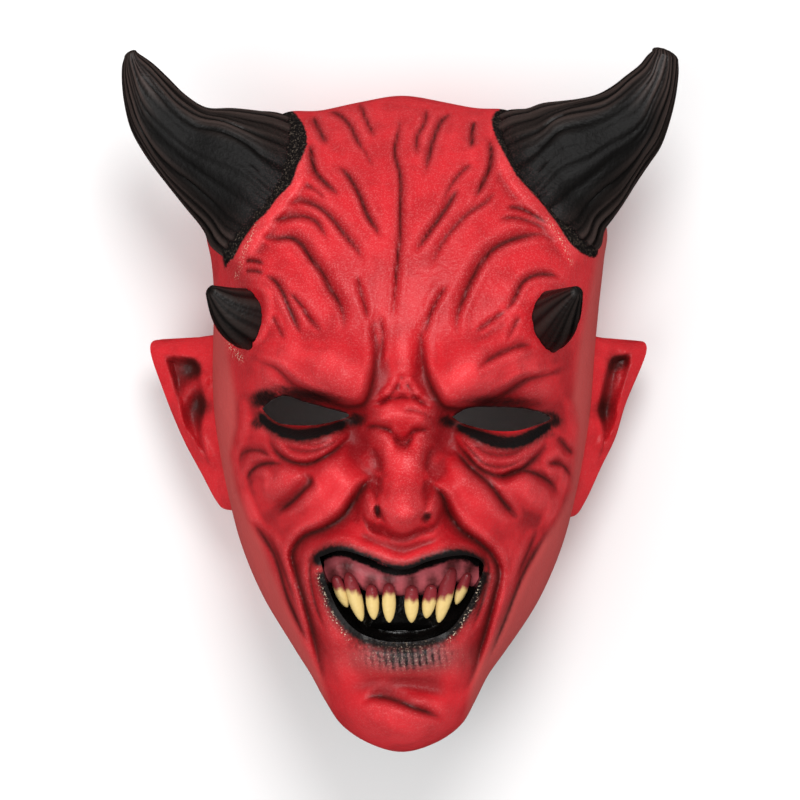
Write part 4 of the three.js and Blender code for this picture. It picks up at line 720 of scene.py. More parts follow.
def dome(name, kind, level_at, around, out, down, inset, foot):
    """Rings round the middle of the face, thinned towards it, with side walls down to the foot."""
    rings = []
    turn = 2 * math.pi / around
    index = np.arange(around)
    for i in range(1, out + 1):
        share = i / out
        step = next((every for limit, every in RING_STEPS if share < limit), 1)
        angle = turn * (index - index % step)
        radius = outline_radius(angle) - inset
        # rings lie closer together towards the edge
        spread = 0.5 * share + 0.5 * math.sin(share * math.pi / 2)
        dx, dy = radius * spread * np.cos(angle), radius * spread * np.sin(angle)
        full = 1 + inset / radius
        level = level_at(MIDDLE[0] + dx * full, MIDDLE[1] + dy * full)
        rings.append(np.column_stack([MIDDLE[0] + dx, MIDDLE[1] + dy, level]))
    angle = turn * index
    radius = outline_radius(angle) - inset
    top = edge_level(angle) - inset
    tuck = RIM_TUCK + (JAW_TUCK - RIM_TUCK) * np.maximum(0, -np.sin(angle)) ** 2
    for i in range(1, down + 1):
        share = i / down
        drawn = radius * (1 - tuck * smooth(share))
        x, y = MIDDLE[0] + drawn * np.cos(angle), MIDDLE[1] + drawn * np.sin(angle)
        rings.append(np.column_stack([x, y, top + (foot - top) * share]))
    middle = np.array([MIDDLE[0]]), np.array([MIDDLE[1]])
    return closed_mesh(name, kind, rings, (*MIDDLE, level_at(*middle)[0]), (*MIDDLE, foot))


def block(name, kind, loop, levels):
    """A block over a closed loop, at levels that each have a share of its size and a move upwards."""
    loop = np.array(loop, float)
    centre = loop.mean(0)
    rings = []
    for level, share, *moved in levels:
        flat = centre + (loop - centre) * share + (0, sum(moved))
        rings.append(np.column_stack([flat, np.full(len(loop), level)]))
    return lofted(name, kind, rings)


def big_horn(name, kind, form, fine, sides, shrink):
    """A big horn, or with a wall to shrink by the hollow inside it, which ends short of the tip."""
    edges = form["edges"]
    first, second = (curve_through([pair[k] for pair in edges], fine * (len(edges) - 1)) for k in (0, 1))
    wanted = len(first) - fine * BIG_HORN["open_end"] if shrink else len(first)
    column = round_angles(sides)
    rings, crests, shares = [], [], []
    for i in range(wanted):
        share = i / (len(first) - 1)
        near_root = max(0, 1 - share / BIG_HORN["root_share"]) ** 2
        level = form["level"] + (BIG_HORN["tip_level"] - form["level"]) * share
        depth = BIG_HORN["root_depth"] + (BIG_HORN["tip_depth"] - BIG_HORN["root_depth"]) * share
        centre, half = (first[i] + second[i]) / 2, (second[i] - first[i]) / 2
        reach = np.hypot(*half)
        crest = horn_crest(column, share)
        ripple = 1 if shrink else 1 - BIG_HORN["ridge_depth"] * (1 - 0.5 * share) * (1 - crest)
        angle = column if shrink else column + horn_wander(column, share)
        across = np.cos(angle) * (1 - shrink / reach) * ripple
        up = np.sin(angle) * (reach * depth - shrink) * ripple
        bow = form["bow"] * near_root * np.maximum(0, np.sin(angle)) / reach
        rings.append(np.column_stack([
            centre[0] + half[0] * across + half[1] * bow,
            centre[1] + half[1] * across - half[0] * bow,
            level + up + form["tilt"] * near_root * across,
        ]))
        crests.append(crest)
        shares.append(share)
    middle = rings[0].mean(0)
    plug = middle + (rings[0] - middle) * BIG_HORN["plug_size"]
    plug[:, 2] = rings[0][:, 2] - BIG_HORN["plug_depth"]
    end = rings[-1].mean(0)
    if not shrink:
        end = np.array([*form["tip"], BIG_HORN["tip_level"]])
        round_off(rings, crests, shares, end, BIG_HORN["tip_rings"])
    rings, crests, shares = [plug, *rings], [crests[0], *crests], [0, *shares]
    return closed_mesh(name, kind, rings, plug.mean(0), end, np.array(shares)[:, None], np.array(crests))


def round_off(rings, crests, shares, tip, steps):
    """Adds the rings of a horn's round end, at shares of the way to its tip."""
    last, middle = rings[-1], rings[-1].mean(0)
    for t in steps:
        rings.append(middle + (tip - middle) * t + (last - middle) * math.sqrt(1 - t * t))
        crests.append(crests[-1])
        shares.append(1)


def crest_between(*grooves):
    """1 on lengthwise ridges and 0 in the grooves between them, given as phase, sharpness and depth."""
    sunk = sum(deep * (1 - abs(np.sin(phase))) ** sharp for phase, sharp, deep in grooves)
    return np.clip(1 - sunk, 0, 1)


def horn_crest(column, share):
    """Ridges of a big horn, which drift a little to the side on their way to the tip."""
    return crest_between(
        (11 * column + 0.6 * math.sin(5 * share), 2, 0.75),
        (7.5 * column + 1.1 + 0.9 * share, 3, 0.55),
        (17.5 * column + 2.3 - 1.2 * share, 2, 0.3),
    )


def horn_wander(column, share):
    """How far the ridges sway to the side along the horn."""
    return 0.07 * np.sin(7 * share + 2 * column) + 0.03 * np.sin(19 * share + 5 * column)


def small_horn(name, kind, root, tip, radius, bow, sides=60, steps=24):
    """A small horn, bowed, with fewer ridges than a big one."""
    root, tip = np.array(root, float), np.array(tip, float)
    axis = (tip - root) / np.linalg.norm(tip - root)
    side = np.cross((0, 1, 0), axis)
    side /= np.linalg.norm(side)
    top = np.cross(axis, side)
    column = round_angles(sides)
    crest = crest_between((5.5 * column, 2, 0.8), (3.5 * column + 0.8, 3, 0.6))
    rings, crests, shares = [], [], []
    for i in range(steps):
        share = i / steps
        centre = root + (tip - root) * share - top * bow * math.sin(share * math.pi)
        reach = radius * (1 - share ** SMALL_HORN["taper"]) + SMALL_HORN["tip_radius"] * share
        ripple = 1 - SMALL_HORN["ridge_depth"] * (1 - crest) * (1 - 0.6 * share)
        angle = column + SMALL_HORN["twist"] * math.sin(5 * share)
        rings.append(centre + (reach * ripple)[:, None]
                     * (np.cos(angle)[:, None] * side + np.sin(angle)[:, None] * top))
        crests.append(crest)
        shares.append(share)
    round_off(rings, crests, shares, tip, SMALL_HORN["tip_rings"])
    return closed_mesh(name, kind, rings, root, tip, np.array(shares)[:, None], np.array(crests))


def ear_relief(x, y, form):
    """Level of an ear's front above its plate."""
    inside = inside_of(x, y, closed_curve(form["hollow"], 80))
    distance, _, _ = beside(x, y, curve_through(form["ridge"], 30))
    sunk = EAR["hollow_deep"] * smooth(inside / EAR["hollow_edge"])
    raised = EAR["ridge_high"] * rolled(distance, EAR["ridge_width"])
    deepest = sum(bell(distance_to(x, y, at), EAR["deep_size"]) for at in form["deep"])
    full = EAR["lobe_high"] * bell(distance_to(x, y, form["lobe"]), EAR["lobe_size"])
    return raised + full - sunk - EAR["deepest"] * deepest


def ear(name, kind, form, rows=60, columns=32):
    """An ear as a leaning plate with its hollow, ridge and lobe on the front."""
    outer = curve_through(form["edge"], rows)
    rings = []
    across = (np.arange(columns + 1) / columns) ** EAR["spread"]
    for row in range(rows + 1):
        down = row / rows
        inner_y = form["top"] + (form["foot"] - form["top"]) * down
        x = form["inner"] + (outer[row, 0] - form["inner"]) * across
        sag = EAR["top_sag"] * np.sin(math.pi * across) * (1 - down) ** EAR["end_steep"]
        y = inner_y + (outer[row, 1] - inner_y) * across - sag
        middle = EAR["level"] - EAR["lean"] * across ** EAR["lean_power"] - EAR["sweep"] * (1 - down) ** 2
        to_end = EAR["end_thin"] + (1 - EAR["end_thin"]) * smooth(min(down, 1 - down) * EAR["end_steep"])
        thick = (EAR["root_thick"] + (EAR["edge_thick"] - EAR["root_thick"]) * across) * to_end
        front = np.column_stack([x, y, middle + ear_relief(x, y, form)])
        back = np.column_stack([x, y, middle - thick])[::-1]
        rings.append(np.vstack([front, back]))
    return lofted(name, kind, rings)


def jaw_bend(x):
    """How far the gum and the teeth bend back towards the corners of the mouth."""
    return MOUTH["bend"] * (x / MOUTH["half_width"]) ** 2


def gum(name, kind, steps=48, sides=24):
    angle = round_angles(sides)
    rings = []
    for x, y in curve_through(GUM["way"], steps):
        level = MOUTH["gum_front"] - GUM["radius"] - jaw_bend(x)
        rings.append(np.column_stack([
            np.full(sides, x), y + GUM["radius"] * np.sin(angle), level + GUM["radius"] * np.cos(angle),
        ]))
    return lofted(name, kind, rings)


def tooth(name, kind, root, tip, wide, sides=20, steps=18):
    root, tip = np.array(root, float), np.array(tip, float)
    direction = tip - root
    across = np.array([direction[1], -direction[0]]) / np.hypot(*direction)
    level = MOUTH["teeth_front"] - MOUTH["tooth_depth"] - jaw_bend(root[0])
    angle = round_angles(sides)
    at, widths = np.array(TOOTH_STEPS).T
    last_ring = 0.98
    shares = np.linspace(at[0], last_ring, steps)
    rings = []
    for share in shares:
        full = np.interp(share, at, widths)
        flat = root + direction * share + across * (wide / 2 * full * np.cos(angle))[:, None]
        rings.append(np.column_stack([flat, level + MOUTH["tooth_depth"] * full * np.sin(angle)]))
    return closed_mesh(name, kind, rings, rings[0].mean(0), (*tip, level), shares[:, None])


def neck_notch(name, kind, sides=96):
    angle = round_angles(sides)
    rings = []
    x, level = MIDDLE[0] + NECK["half_width"] * np.cos(angle), NECK["height"] * np.sin(angle)
    for y in (NECK["start"], NECK["end"]):
        rings.append(np.column_stack([x, np.full(sides, y), level]))
    return lofted(name, kind, rings)


def breathing_slit(name, kind, sides=48):
    angle = round_angles(sides)
    at, size = SLIT["at"], SLIT["size"]
    loop = np.column_stack([at[0] + size[0] * np.cos(angle), at[1] + size[1] * np.sin(angle)])
    return block(name, kind, loop, [(level, 1, moved) for level, moved in (SLIT["low"], SLIT["high"])])


# The casting: joined outside, cut by the inside and the openings

def combined(made, others, operation):
    for other in others:
        step = made.modifiers.new(operation, "BOOLEAN")
        step.operation = operation
        step.solver = "MANIFOLD"
        step.object = other
    bpy.context.view_layer.update()
    result = bpy.data.meshes.new_from_object(made.evaluated_get(bpy.context.evaluated_depsgraph_get()))
    made.modifiers.clear()
    made.data = result
    for other in others:
        bpy.data.objects.remove(other)
    return made


def casting():
    """The mask in the front view."""
    skin = dome("skin", SKIN, outer_level, around=700, out=124, down=7, inset=0, foot=0)
    inside = dome("inside", INSIDE, inner_level, around=144, out=40, down=4, inset=WALL, foot=-10)
    horns = [big_horn("big_horn", BIG, form, 5, 144, 0) for form in BIG_HORNS]
    hollows = [big_horn("hollow", INSIDE, form, 2, 32, WALL) for form in BIG_HORNS]
    small = [small_horn("small_horn", SMALL, *values) for values in SMALL_HORNS]
    ears = [ear("ear", EAR_KIND, form) for form in EARS]
    pocket = block("pocket", POCKET, closed_curve(MOUTH_EDGE, 120), MOUTH_STEPS)
    teeth = [tooth("tooth", TOOTH, *values) for values in TEETH]
    holes = [block("eye_hole", HOLE, closed_curve(loop, 110), EYE_CUT) for loop in EYES]
    slit = breathing_slit("slit", POCKET)
    combined(skin, horns + small + ears, "UNION")
    combined(skin, [pocket], "DIFFERENCE")
    combined(skin, [gum("gum", GUM_KIND), *teeth], "UNION")
    return combined(skin, [inside, *hollows, *holes, slit, neck_notch("neck", INSIDE)], "DIFFERENCE")


# Paint, as colours in linear light

def linear(red, green, blue):
    srgb = np.array([red, green, blue]) / 255
    return np.where(srgb <= 0.04045, srgb / 12.92, ((srgb + 0.055) / 1.055) ** 2.4)


RED = linear(206, 28, 38)
BRIGHT_RED = linear(226, 36, 44)
# deep red for painted shade
SHADE_RED = linear(128, 12, 20)
DULL_RED = linear(190, 66, 64)
BLACK = linear(12, 10, 9)
# the painted highlight on the horns' ridges
HORN_RIDGE_HIGHLIGHT = linear(66, 53, 49)
GUM_PINK = linear(204, 96, 104)
TOOTH_CREAM = linear(226, 196, 128)
TOOTH_RED = linear(134, 42, 48)
LIP_GREY = linear(112, 92, 90)
INNER_LIP = linear(112, 22, 28)
RAW_LATEX = linear(112, 54, 46)
# pale red for painted highlight
HIGHLIGHT_RED = linear(236, 62, 68)

# Painted highlight where the skin stands out, and painted shade where it lies low: height above or depth
# below its surroundings, and strength
PAINTED_HIGHLIGHT = dict(height=1.2, strength=0.55)
PAINTED_SHADE = dict(depth=1.4, strength=0.8, by_furrow=0.7)
# The same height seen from near by and from farther off: distance, and share
SURROUNDINGS = [(2, 1), (6, 0.45)]
# The dark wash in a furrow and the painted shade round it: half width as a share of the furrow's and added,
# strength, reach, fall, and the shade's width
CREASE_WASH_AND_SHADE = dict(share=0.6, more=0.3, strength=0.85, reach=6, power=1.3, shade_width=3)
# Round the eyes: the soft dark paint beside the black lines, how black the spots of painted shadow are,
# the lower lid's red line, and the dark rim of the hole
EYE_PAINT = dict(
    wash_and_shade=0.85, wash_spread=1.7, spot=0.62, lid_width=0.9, lid_clear=0.9, rim=0.7, rim_width=0.8,
)
# Round the mouth: where the black edge starts and over what height, and its widths
MOUTH_PAINT = dict(top=-58, over=6, black_width=2.8, wash_and_shade=0.9, wash_width=4.8)
INNER_LIP_LINE = (1.2, [(-13, -85.6), (0.5, -87.6), (14, -85.6)])
UNDER_MOUTH = dict(at=(0.8, -88.5), size=(22, 6))
# Black on the big horns' collars: how far it reaches from its edge and fades, how far it is looked for,
# and the height above which it runs on down the crown
COLLAR = dict(reach=8, fade=3, near=12, over=8, crown=72, crown_over=6, edge=1, ring_edge=1.4)
# The plain sides: blend from the carved face, and below the head's rounded edge
PLAIN = dict(start=1, over=3.5, wall_start=1, wall_over=7)
# Gloss of the skin, less on its plain sides, and where it is black
SKIN_SHINE = dict(face=0.45, side=0.15, black=0.6)

# Where the carved face meets the plain sides: height, and distance from the middle to the left and right
SIDES = [
    (-125, 20, 20), (-98, 27.5, 25.5), (-89, 32.5, 30.5), (-73, 40, 38), (-51, 48.5, 49.5), (-43, 53, 55),
    (-32, 57, 60), (-19.5, 59.5, 61.5), (-10, 57.5, 62.5), (0, 57.5, 60.5), (20, 61, 63), (45, 66, 68),
    (110, 80, 80),
]
# Black painted lines under the eyes and along the upper lip, with their half widths
LINERS = [
    (2.3, [(-48.3, -6.5), (-44.7, -9.4), (-39.8, -11.8), (-34.4, -12.4), (-29.5, -11.4), (-21.5, -8.6)]),
    (2.3, [(22.3, -9.4), (27.3, -12.1), (33.7, -14.6), (39.8, -15.2), (45.8, -13.3), (51.5, -9.4)]),
    (2.5, [
        (-28.6, -56.6), (-24.5, -54.5), (-19.8, -54.5), (-15.6, -56.1), (-10.4, -58.1), (-5.7, -60.2),
        (-0.5, -61.2), (4.2, -60.7), (8.9, -58.6), (13.6, -57.1), (18.7, -55.7), (23.4, -56.1),
        (27.6, -58.1)]),
]
# Soft black and deep red shadows: centre, half sizes, turn and strength
BLACK_SPOTS = [
    ((-48, 0.5), (6, 4), 10, 1), ((53.5, -7), (5, 3.4), -20, 1), ((-16.5, -7), (5, 3), 0, 0.9),
    ((18, -7.5), (5, 2.8), 0, 0.9), ((-33, 1.6), (15, 3), -10, 0.85), ((36, -0.8), (16, 2.8), -2, 0.75),
    ((-50, -8), (4, 3), 20, 0.8), ((52, -11.5), (4, 2.6), -20, 0.6),
    ((-8, -39.5), (1.3, 2.8), 10, 0.9), ((9.6, -41.5), (2, 1.6), 30, 0.9),
]
DEEP_SPOTS = [
    ((-33.5, -1), (19, 6.5), -4, 0.7), ((35.5, -1.5), (19, 6.5), 4, 0.7), ((-15.5, -15), (6, 9), 0, 0.85),
    ((-34, -14.5), (17, 6), 4, 0.45), ((36, -17.5), (17, 6), -4, 0.45),
    ((12, -12), (5, 7), 0, 0.7), ((9, -21), (4, 7), 0, 0.5), ((-9, -20), (4, 7), 0, 0.5),
    ((0.5, -103.5), (13, 3.4), 0, 0.4), ((-23, -56), (10, 6), 0, 0.25), ((25, -58), (10, 6), 0, 0.25),
]
# Edges of the black paint round the big horns, from the crown down
HORN_PAINT = [
    [(-48.3, 102.6), (-43.3, 103.1), (-39.4, 102.6), (-36.6, 100.1), (-34.1, 95.1), (-34.1, 90.5),
     (-37.3, 83.4), (-39.4, 77.7), (-44.4, 72.4), (-48.3, 67.1), (-51.8, 63.9), (-56.8, 56.8), (-60, 50.8)],
    [(34.4, 102.2), (33.4, 99.4), (34.4, 95.1), (38.3, 87.3), (41.9, 80.9), (46.5, 75.6), (50.1, 71.7),
     (54, 66.7), (57.9, 61.4), (59.5, 58.6), (62.1, 55.4), (66, 52.5), (68.9, 51.5)],
]
# How far down the sides of the head that paint reaches, on the left and the right
COLLAR_LEVELS = (67, 59)
# Lines of pale flecks along a few edges, with half widths
SPECKLED = [
    (0.8, [(-50.8, 63.2), (-53, 58.5), (-55.7, 52.1), (-58.2, 43.3)]),
    (0.7, [(52.6, 64), (57.4, 57), (60.9, 48.6)]),
    (1.6, [(-60.5, 24), (-60, 19), (-57, 15)]),
    (0.9, [(-29, -61), (-27, -70), (-23.5, -78), (-18.5, -85)]),
    (0.9, [(28.5, -62), (26.8, -71), (22.5, -79), (17, -86)]),
]
# What the material reads besides the colour
EFFECTS = ("wash_and_shade", "black", "speck", "sheen_grain", "tint", "shine")


def coat(shade, points):
    return np.tile(shade, (len(points), 1))


def mixed(colour, other, share):
    return colour + (other - colour) * np.clip(share, 0, 1)[:, None]


def crease_wash_and_shade(x, y):
    """How much of the dark paint has been wiped into the furrows, and the reddish painted shade round them.
    """
    dark, shade = np.zeros(x.shape), np.zeros(x.shape)
    for left, right, _, strength, fade, way in FURROWS:
        halves = (CREASE_WASH_AND_SHADE["share"] * half + CREASE_WASH_AND_SHADE["more"] for half in (left, right))
        close, full, u = furrow(x, y, *halves, fade, way, CREASE_WASH_AND_SHADE["reach"])
        full = strength * full
        dark[close] = np.maximum(dark[close], CREASE_WASH_AND_SHADE["strength"] * full * np.exp(-u ** CREASE_WASH_AND_SHADE["power"]))
        # the reddish painted shade round the furrow
        shade[close] = np.maximum(shade[close], full * bell(u, CREASE_WASH_AND_SHADE["shade_width"]))
    return dark, shade


def hollowness(x, y):
    """How far a point of the face lies below what is around it, near by and farther off."""
    found = 0
    here = broad_forms(x, y) + furrows(x, y)
    for reach, share in SURROUNDINGS:
        steps = ((reach, 0), (-reach, 0), (0, reach), (0, -reach))
        around = sum(broad_forms(x + dx, y + dy) + furrows(x + dx, y + dy) for dx, dy in steps) / len(steps)
        found = found + share * (around - here)
    return found


def plain_sides(x, y, z):
    """1 on the plain sides of the head and 0 on the carved face, and 1 below the rounded edge alone."""
    height, left, right = np.array(SIDES, float).T
    edge = np.where(x < 0, np.interp(y, height, left), np.interp(y, height, right))
    below = edge_level(np.arctan2(y - MIDDLE[1], x - MIDDLE[0])) - z
    wall = smooth((below - PLAIN["wall_start"]) / PLAIN["wall_over"])
    return np.maximum(smooth((abs(x) - edge + PLAIN["start"]) / PLAIN["over"]), wall), wall


def eye_paint(x, y, colour, black, wash_and_shade):
    """Soft black lines round the eyes, soft black spots of painted shadow, and bright red lower lids."""
    for wide, way in LINERS:
        black = np.maximum(black, band(x, y, way, wide))
        wash_and_shade = np.maximum(wash_and_shade, EYE_PAINT["wash_and_shade"] * band(x, y, way, EYE_PAINT["wash_spread"] * wide))
    # painted shadows: soft dark over each spot, black at its middle
    for at, size, turn, strength in BLACK_SPOTS:
        spot = strength * oval(x, y, at, size, turn)
        wash_and_shade = np.maximum(wash_and_shade, spot)
        black = np.maximum(black, EYE_PAINT["spot"] * spot)
    for loop in EYES:
        gap = -inside_of(x, y, closed_curve(loop, 60))
        lid = band(x, y, [*loop[LOWER_LID:], loop[0]], EYE_PAINT["lid_width"])
        rim = EYE_PAINT["rim"] * bell(gap, EYE_PAINT["rim_width"])
        colour = mixed(colour, BRIGHT_RED, lid)
        black = np.maximum(black * (1 - EYE_PAINT["lid_clear"] * lid), rim * (1 - lid))
    return colour, black, wash_and_shade


def mouth_paint(x, y, colour, black, wash_and_shade, lip):
    """A black edge round the lower half of the mouth, and a grey lower lip painted black, heaviest in its
    grooves as a painted shade.
    """
    gap = np.maximum(-inside_of(x, y, closed_curve(MOUTH_EDGE, 64)), 0)
    low = smooth((MOUTH_PAINT["top"] - y) / MOUTH_PAINT["over"])
    black = np.maximum(black, low * bell(gap, MOUTH_PAINT["black_width"]))
    wash_and_shade = np.maximum(wash_and_shade, MOUTH_PAINT["wash_and_shade"] * low * bell(gap, MOUTH_PAINT["wash_width"]))
    colour = mixed(colour, LIP_GREY, 0.95 * lip)
    wide, way = INNER_LIP_LINE
    colour = mixed(colour, INNER_LIP, 0.9 * band(x, y, way, wide))
    under = oval(x, y, UNDER_MOUTH["at"], UNDER_MOUTH["size"])
    black = np.maximum(black, 0.66 * under * (1 - 0.4 * lip))
    # black paint on the lower lip, heaviest in its grooves as a painted shade
    black = np.maximum(black, 0.8 * lip * (0.5 + 0.5 * lip_grooves(x, y)))
    return colour, black, wash_and_shade


def collar_paint(x, y, z, black):
    """Black paint that runs on from the big horns over their collars, and where it lies."""
    ring = np.zeros(x.shape)
    for side, lowest, line in zip((1, -1), COLLAR_LEVELS, HORN_PAINT):
        close, (gap, _, left_of) = near_line(x, y, line, COLLAR["near"])
        on_side = smooth((z[close] - lowest) / COLLAR["over"])
        on_crown = smooth((y[close] - COLLAR["crown"]) / COLLAR["crown_over"])
        painted = np.where(left_of * side < 0, np.maximum(on_side, on_crown), 0)
        painted *= 1 - smooth((gap - COLLAR["reach"]) / COLLAR["fade"])
        for layer, edge in ((black, COLLAR["edge"]), (ring, COLLAR["ring_edge"])):
            layer[close] = np.maximum(layer[close], np.maximum(painted, bell(gap, edge)))
    return black, ring


def skin_paint(points, _):
    x, y, z = points.T
    wash_and_shade, shade = crease_wash_and_shade(x, y)
    hollow = hollowness(x, y)
    # painted highlight where the skin stands out, painted shade in its hollows and round its furrows
    raised = np.clip(-hollow / PAINTED_HIGHLIGHT["height"], 0, 1)
    deep = PAINTED_SHADE["strength"] * smooth(hollow / PAINTED_SHADE["depth"])
    colour = mixed(coat(RED, points), HIGHLIGHT_RED, PAINTED_HIGHLIGHT["strength"] * raised)
    colour = mixed(colour, SHADE_RED, np.maximum(PAINTED_SHADE["by_furrow"] * shade, deep))
    # painted shadows in deep red
    for at, size, turn, strength in DEEP_SPOTS:
        colour = mixed(colour, SHADE_RED, strength * oval(x, y, at, size, turn))
    plain, wall = plain_sides(x, y, z)
    colour = mixed(colour, DULL_RED, plain)
    lip = oval(x, y, LOWER_LIP["at"], LOWER_LIP["size"])
    colour, black, wash_and_shade = eye_paint(x, y, colour, np.zeros(x.shape), wash_and_shade)
    colour, black, wash_and_shade = mouth_paint(x, y, colour, black, wash_and_shade, lip)
    black, ring = collar_paint(x, y, z, black)
    # pale flecks: a painted highlight on the lower lip's wrinkles, and flecks on the collars and along a
    # few edges
    speck = np.maximum(0.5 * lip * (1 - lip_grooves(x, y)), 0.16 * ring)
    for wide, way in SPECKLED:
        speck = np.maximum(speck, band(x, y, way, wide))
    shine = SKIN_SHINE["face"] + (SKIN_SHINE["side"] - SKIN_SHINE["face"]) * plain
    shine = np.maximum(shine, SKIN_SHINE["black"] * np.maximum(black, 0.8 * lip))
    # a painted sheen of pale grains on the forehead, the nose and whatever stands out
    upper = np.maximum(smooth((y - 5) / 25), oval(x, y, (1, -28), (12, 18)))
    sheen_grain = (1 - plain) * (0.2 + 0.5 * upper + 0.6 * raised)
    painted = dict(wash_and_shade=wash_and_shade, black=black, speck=speck, sheen_grain=sheen_grain)
    found = {name: amount * (1 - wall) for name, amount in painted.items()}
    return colour, dict(found, tint=1 - plain, shine=shine)


def horn_paint(points, given):
    """Black, with a painted highlight of greyish brown on the ridges towards the horn's edges and tip."""
    x, y, _ = points.T
    edgeward = np.zeros(len(points))
    for form in BIG_HORNS:
        close = (x < 0) == (form["tip"][0] < 0)
        edges = np.array(form["edges"], float)
        distance, share, _ = beside(x[close], y[close], edges.mean(1))
        halves = np.hypot(*(edges[:, 1] - edges[:, 0]).T) / 2
        half = np.interp(share, np.linspace(0, 1, len(halves)), halves)
        edgeward[close] = np.maximum(smooth((distance / half - 0.35) / 0.5), smooth((share - 0.6) / 0.3))
    # painted highlight in greyish brown on the ridges, towards the edges and the tip
    colour = mixed(coat(BLACK, points), HORN_RIDGE_HIGHLIGHT, edgeward * given["crest"] ** 3)
    # and a little painted sheen of pale grains near the root
    return colour, dict(shine=0.08 + 0.35 * edgeward, sheen_grain=0.2 * bell(given["along"], 0.1))


def small_horn_paint(points, given):
    # black, with a painted highlight on the ridges
    colour = mixed(coat(BLACK, points), HORN_RIDGE_HIGHLIGHT, 0.4 * given["crest"] ** 3)
    return colour, dict(shine=0.35)


def ear_paint(points, _):
    """Red, with painted shade in the hollow but for its ridge, and plain at the back."""
    x, y, z = points.T
    colour = coat(RED, points)
    wash_and_shade = np.zeros(len(points))
    for form in EARS:
        close = (x < 0) == (form["inner"] < 0)
        inside = inside_of(x[close], y[close], closed_curve(form["hollow"], 80))
        distance, _, _ = beside(x[close], y[close], curve_through(form["ridge"], 30))
        ridge = bell(distance, 2.4)
        hollow = smooth((inside + 0.5) / 2) * (1 - 0.55 * ridge)
        deepest = sum(bell(distance_to(x[close], y[close], at), EAR["deep_size"]) for at in form["deep"])
        # painted shade in the hollow, darker still in its deepest places
        colour[close] = mixed(colour[close], SHADE_RED, 0.85 * hollow)
        wash_and_shade[close] = np.clip(0.5 * hollow + 0.6 * deepest * (1 - ridge), 0, 0.9)
    back = smooth((EAR["level"] - EAR["lean"] - EAR["sweep"] - 2 - z) / 4)
    colour = mixed(colour, DULL_RED, back)
    # a painted sheen of pale grains over the ear
    return colour, dict(wash_and_shade=wash_and_shade * (1 - back), shine=0.5 - 0.3 * back, sheen_grain=0.3, tint=1 - back)


def gum_paint(points, _):
    """Pink, with painted shade round each tooth, and black below."""
    x, y, _ = points.T
    wash_and_shade = np.zeros(len(points))
    # painted shade round each tooth
    for root, tip, wide in TEETH:
        root, tip = np.array(root, float), np.array(tip, float)
        distance, _, _ = beside(x, y, np.array([root - 0.2 * (tip - root), tip]))
        wash_and_shade = np.maximum(wash_and_shade, 0.8 * bell(distance / (0.62 * wide), 1.1))
    _, upper_lip = LINERS[2]
    black = np.maximum(band(x, y, upper_lip, 1.7), smooth((-68.8 - y) / 2))
    return coat(GUM_PINK, points), dict(wash_and_shade=wash_and_shade, black=black, shine=0.95)


def tooth_paint(points, given):
    """Cream with a dark red root and a ragged edge between them, and painted shade at the end by the gum.
    """
    x, y, _ = points.T
    bound = np.interp(x, *np.array(TOOTH_PAINT).T)
    cream = smooth((bound + 0.8 - y + 0.5 * np.sin(2.3 * x)) / 1.8)
    colour = mixed(coat(TOOTH_RED, points), TOOTH_CREAM, cream)
    # painted shade at the end by the gum
    return colour, dict(shine=0.9, wash_and_shade=0.35 * (1 - smooth(given["along"] / 0.12)))


def plain_paint(shade, shine):
    return lambda points, _: (coat(shade, points), dict(shine=shine))


# the walls of the eye holes take the deep red of painted shade
PAINTERS = {
    SKIN: skin_paint, BIG: horn_paint, SMALL: small_horn_paint, EAR_KIND: ear_paint, GUM_KIND: gum_paint,
    TOOTH: tooth_paint, POCKET: plain_paint(BLACK, 1), HOLE: plain_paint(SHADE_RED, 0.4),
    INSIDE: plain_paint(RAW_LATEX, 0.05),
}


def values_of(data, key, width=1, kind=np.float32):
    flat = np.empty(len(data) * width, kind)
    data.foreach_get(key, flat)
    return flat.reshape(-1, width) if width > 1 else flat


def paint(mesh, points):
    """Colours the corners of the faces by what they belong to, so that the parts meet crisply."""
    corner_point = values_of(mesh.loops, "vertex_index", kind=np.int32)
    sides = values_of(mesh.polygons, "loop_total", kind=np.int32)
    corner_kind = np.repeat(values_of(mesh.attributes["kind"].data, "value", kind=np.int32), sides)
    given = {label: values_of(mesh.attributes[label].data, "value") for label in ("along", "crest")}
    colour = np.ones((len(corner_point), 4))
    effects = {name: np.zeros(len(corner_point)) for name in EFFECTS}
    for kind, painter in PAINTERS.items():
        corners = np.flatnonzero(corner_kind == kind)
        used, back = np.unique(corner_point[corners], return_inverse=True)
        shades, found = painter(points[used], {label: all_of[used] for label, all_of in given.items()})
        colour[corners, :3] = shades[back]
        for name, amount in found.items():
            effects[name][corners] = np.broadcast_to(amount, len(used))[back]
    layer = mesh.attributes.new("paint", "FLOAT_COLOR", "CORNER")
    layer.data.foreach_set("color", colour.astype(np.float32).ravel())
    for name, amount in effects.items():
        mesh.attributes.new(name, "FLOAT", "CORNER").data.foreach_set("value", amount.astype(np.float32))
    for label in ("kind", "along", "crest"):
        mesh.attributes.remove(mesh.attributes[label])


# Materials

# Noises in the paint: scale per metre, and detail
NOISES = dict(cloud=(38, 2), mottle=(110, 3), fine=(700, 3), speckle=(1500, 2), grains=(1900, 2))
# Coats over the painted colour, in order: the noise that they follow, the effect that they are held to,
# the noise's levels between which they come in, strength and shade
NOISE_COATS = dict(
    under=[
        ("mottle", "tint", (0.42, 0.75), 0.4, (150, 10, 20)),
        ("cloud", "tint", (0.4, 0.7), 0.4, (168, 16, 26)),
        # a painted sheen of pale pink grains
        ("grains", "sheen_grain", (0.5, 0.68), 0.24, (242, 142, 142)),
    ],
    over=[("speckle", "speck", (0.57, 0.66), 0.75, (232, 206, 180))],
)
